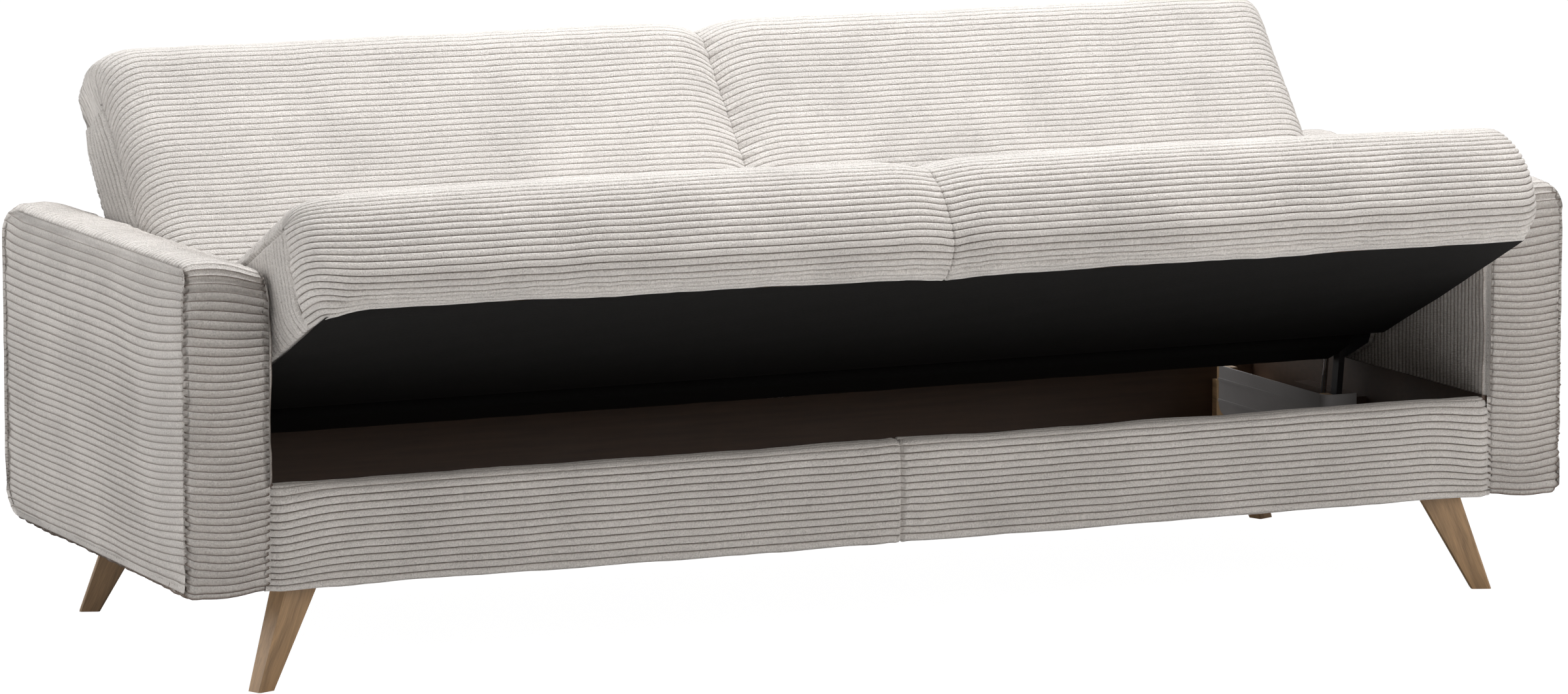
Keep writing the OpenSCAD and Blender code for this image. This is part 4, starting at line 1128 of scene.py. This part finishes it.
class SOFA_OT_arms(bpy.types.Operator):
    """Make the padded arms"""

    bl_idname = "sofa.arms"
    bl_label = "Arms"

    def execute(self, context):
        arm, cord = context.scene.sofa_arm, context.scene.sofa_cord
        parts = [arm_band(arm, cord), arm_outside(arm, cord), arm_inside(cord)]
        for side in ("right", "left"):
            made = piece(f"arm_{side}", on_side(side, parts), cord_of(context), "base",
                         [f"arm_cover_{side}"])
        return {"FINISHED"}


class SOFA_OT_base(bpy.types.Operator):
    """Cover the front and rear panels and finish the box, its frame and the legs"""

    bl_idname = "sofa.base"
    bl_label = "Base"

    def execute(self, context):
        cord, base = context.scene.sofa_cord, context.scene.sofa_base
        made = piece("front_cover", front_parts(cord), cord_of(context), "base", ["front_panel_cover"])
        made = piece("rear_cover", rear_parts(cord), cord_of(context), "base", ["rear_panel_cover"])
        paint(board_finish(tuple(base.board)), "box_front_panel", "box_rear_panel", *pair("box_side"), "box_floor",
              "bracket_blocks")
        for depth in ("front", "rear"):
            for side, sign in (("left", -1), ("right", 1)):
                name = f"leg_{depth}_{side}"
                low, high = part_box(name)
                # Along the splayed leg; the rear ones get a darker copy of the same oak, painted shade under the sofa
                lean = (-sign * 0.065, 0.027 if depth == "front" else -0.027, high.z - low.z)
                tone = 1.0 if depth == "front" else 0.75
                paint(wood_finish(f"Leg wood {depth} {side}", shade(base.oak, tone), lean, 0.48, 0.9, 0.12), name)
        paint(wood_finish("Frame timber along", tuple(base.pine), (1, 0, 0)), "seat_frame", "back_frame")
        paint(wood_finish("Frame timber deep", tuple(base.pine), (0, 1, 0)), "floor_battens", *pair("arm_frame"),
              "corner_blocks")
        paint(wood_finish("Frame timber upright", tuple(base.pine), (0, 0, 1)), "guard_posts")
        paint(webbing_finish(), "seat_webbing", "back_webbing")
        return {"FINISHED"}


class SOFA_OT_fittings(bpy.types.Operator):
    """Finish the linkage, straps, plates, screws and guards"""

    bl_idname = "sofa.fittings"
    bl_label = "Fittings"

    def execute(self, context):
        paint(metal_finish("Zinc plated steel", (0.60, 0.60, 0.61), 0.34), *pair("base_bracket"), "hinge_plates",
              *pair("seat_strap"), *pair("back_strap"), "leg_plates", "leg_bolts", "arm_bolts", "bracket_screws",
              "seat_screws", "back_screws")
        paint(metal_finish("Bright plating", (0.82, 0.82, 0.84), 0.16, 1.0, 0.05), "rear_links", "hinge_pins")
        paint(metal_finish("Dark enamel", (0.035, 0.035, 0.038), 0.40, 0.0, 0.06), "front_links")
        paint(plastic_finish("Guard plastic", (0.36, 0.355, 0.36)), *pair("guard"))
        return {"FINISHED"}


class SOFA_OT_stage(bpy.types.Operator):
    """Set the floor, the lamps and the camera"""

    bl_idname = "sofa.stage"
    bl_label = "Stage"

    def execute(self, context):
        scene, stage = context.scene, context.scene.sofa_stage
        mesh = bpy.data.meshes.new("floor")
        half = 30
        mesh.from_pydata([(-half, -half, 0), (half, -half, 0), (half, half, 0), (-half, half, 0)], [], [(0, 1, 2, 3)])
        floor = bpy.data.objects.new("floor", mesh)
        scene.collection.objects.link(floor)
        f = Finish("Floor")
        path = f.node("ShaderNodeLightPath")
        seen = path.out("Is Camera Ray")
        white = f.node("ShaderNodeEmission", {}, {"Color": (1, 1, 1), "Strength": 1.15})
        plain = f.node("ShaderNodeBsdfDiffuse", {}, {"Color": (0.86, 0.86, 0.86)})
        both = f.node("ShaderNodeMixShader", {}, {0: seen * 0.86, 1: plain, 2: white})
        f.tree.links.new(both.socket, f.shown.inputs["Surface"])
        mesh.materials.append(f.owner)

        world = bpy.data.worlds.new("Studio")
        scene.world = world
        w = Finish("Studio", world)
        path = w.node("ShaderNodeLightPath")
        seen = path.maths("MAXIMUM", path.out("Is Camera Ray"),
                          path.maths("MAXIMUM", path.out("Is Glossy Ray"), path.out("Is Transmission Ray")))
        dome = w.node("ShaderNodeBackground", {}, {"Color": (1.0, 0.94, 0.88), "Strength": 0.25})
        back = w.node("ShaderNodeBackground", {}, {"Color": (1, 1, 1), "Strength": 1.0})
        both = w.node("ShaderNodeMixShader", {}, {0: seen, 1: dome, 2: back})
        w.tree.links.new(both.socket, w.shown.inputs["Surface"])

        target = Vector((0, 0, 0.45))
        for name, place, power, size in (("Top lamp", (0.3, 0.3, 4.2), stage.top_light, 3.2),
                                         ("Front lamp", (2.6, -5.5, 2.6), stage.front_light, 2.6),
                                         ("Side lamp", (-5.6, 0.9, 2.4), stage.side_light, 2.4)):
            lamp = bpy.data.lights.new(name, "AREA")
            lamp.energy, lamp.size = power, size
            lamp.color = (1.0, 0.965, 0.93) if name == "Front lamp" else (1.0, 1.0, 1.0)
            made = bpy.data.objects.new(name, lamp)
            made.location = place
            made.rotation_euler = (target - Vector(place)).to_track_quat("-Z", "Y").to_euler()
            scene.collection.objects.link(made)

        roll = math.radians(0.05)
        camera = bpy.data.cameras.new("Camera")
        camera.lens, camera.sensor_width, camera.clip_end = stage.lens, 36, 100
        made = bpy.data.objects.new("Camera", camera)
        turn = (Matrix.Rotation(-stage.yaw, 4, "Z") @ Matrix.Rotation(math.pi / 2 + stage.pitch, 4, "X")
                @ Matrix.Rotation(roll, 4, "Z"))
        made.matrix_world = Matrix.Translation(stage.eye) @ turn
        scene.collection.objects.link(made)
        scene.camera = made
        scene.view_settings.view_transform = "Standard"
        return {"FINISHED"}


class SOFA_PT_parts(bpy.types.Panel):
    """Parts of the sofa bed and their settings"""

    bl_label = "Sofa bed"
    bl_idname = "SOFA_PT_parts"
    bl_space_type = "VIEW_3D"
    bl_region_type = "UI"
    bl_category = "Sofa bed"

    def draw(self, context):
        for operator, group in ((SOFA_OT_seat, "sofa_seat"), (SOFA_OT_back, "sofa_back"), (SOFA_OT_arms, "sofa_arm"),
                                (SOFA_OT_base, "sofa_base"), (SOFA_OT_fittings, "sofa_cord"),
                                (SOFA_OT_stage, "sofa_stage")):
            box = self.layout.box()
            box.operator(operator.bl_idname)
            for name in getattr(context.scene, group).bl_rna.properties.keys():
                if name not in {"rna_type", "name"}:
                    box.prop(getattr(context.scene, group), name)


GROUPS = {"sofa_cord": CordSettings, "sofa_seat": SeatSettings, "sofa_back": BackSettings, "sofa_arm": ArmSettings,
          "sofa_base": BaseSettings, "sofa_stage": StageSettings}
OPERATORS = (SOFA_OT_stage, SOFA_OT_seat, SOFA_OT_back, SOFA_OT_arms, SOFA_OT_base, SOFA_OT_fittings)


def register():
    for item in (*GROUPS.values(), *OPERATORS, SOFA_PT_parts):
        bpy.utils.register_class(item)
    for name, group in GROUPS.items():
        setattr(bpy.types.Scene, name, PointerProperty(type=group))


def unregister():
    for name in GROUPS:
        delattr(bpy.types.Scene, name)
    for item in reversed((*GROUPS.values(), *OPERATORS, SOFA_PT_parts)):
        bpy.utils.unregister_class(item)


def main():
    register()
    bpy.ops.sofa.stage()
    bpy.ops.sofa.seat()
    bpy.ops.sofa.back()
    bpy.ops.sofa.arms()
    bpy.ops.sofa.base()
    bpy.ops.sofa.fittings()
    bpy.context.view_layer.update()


if __name__ == "__main__":
    main()
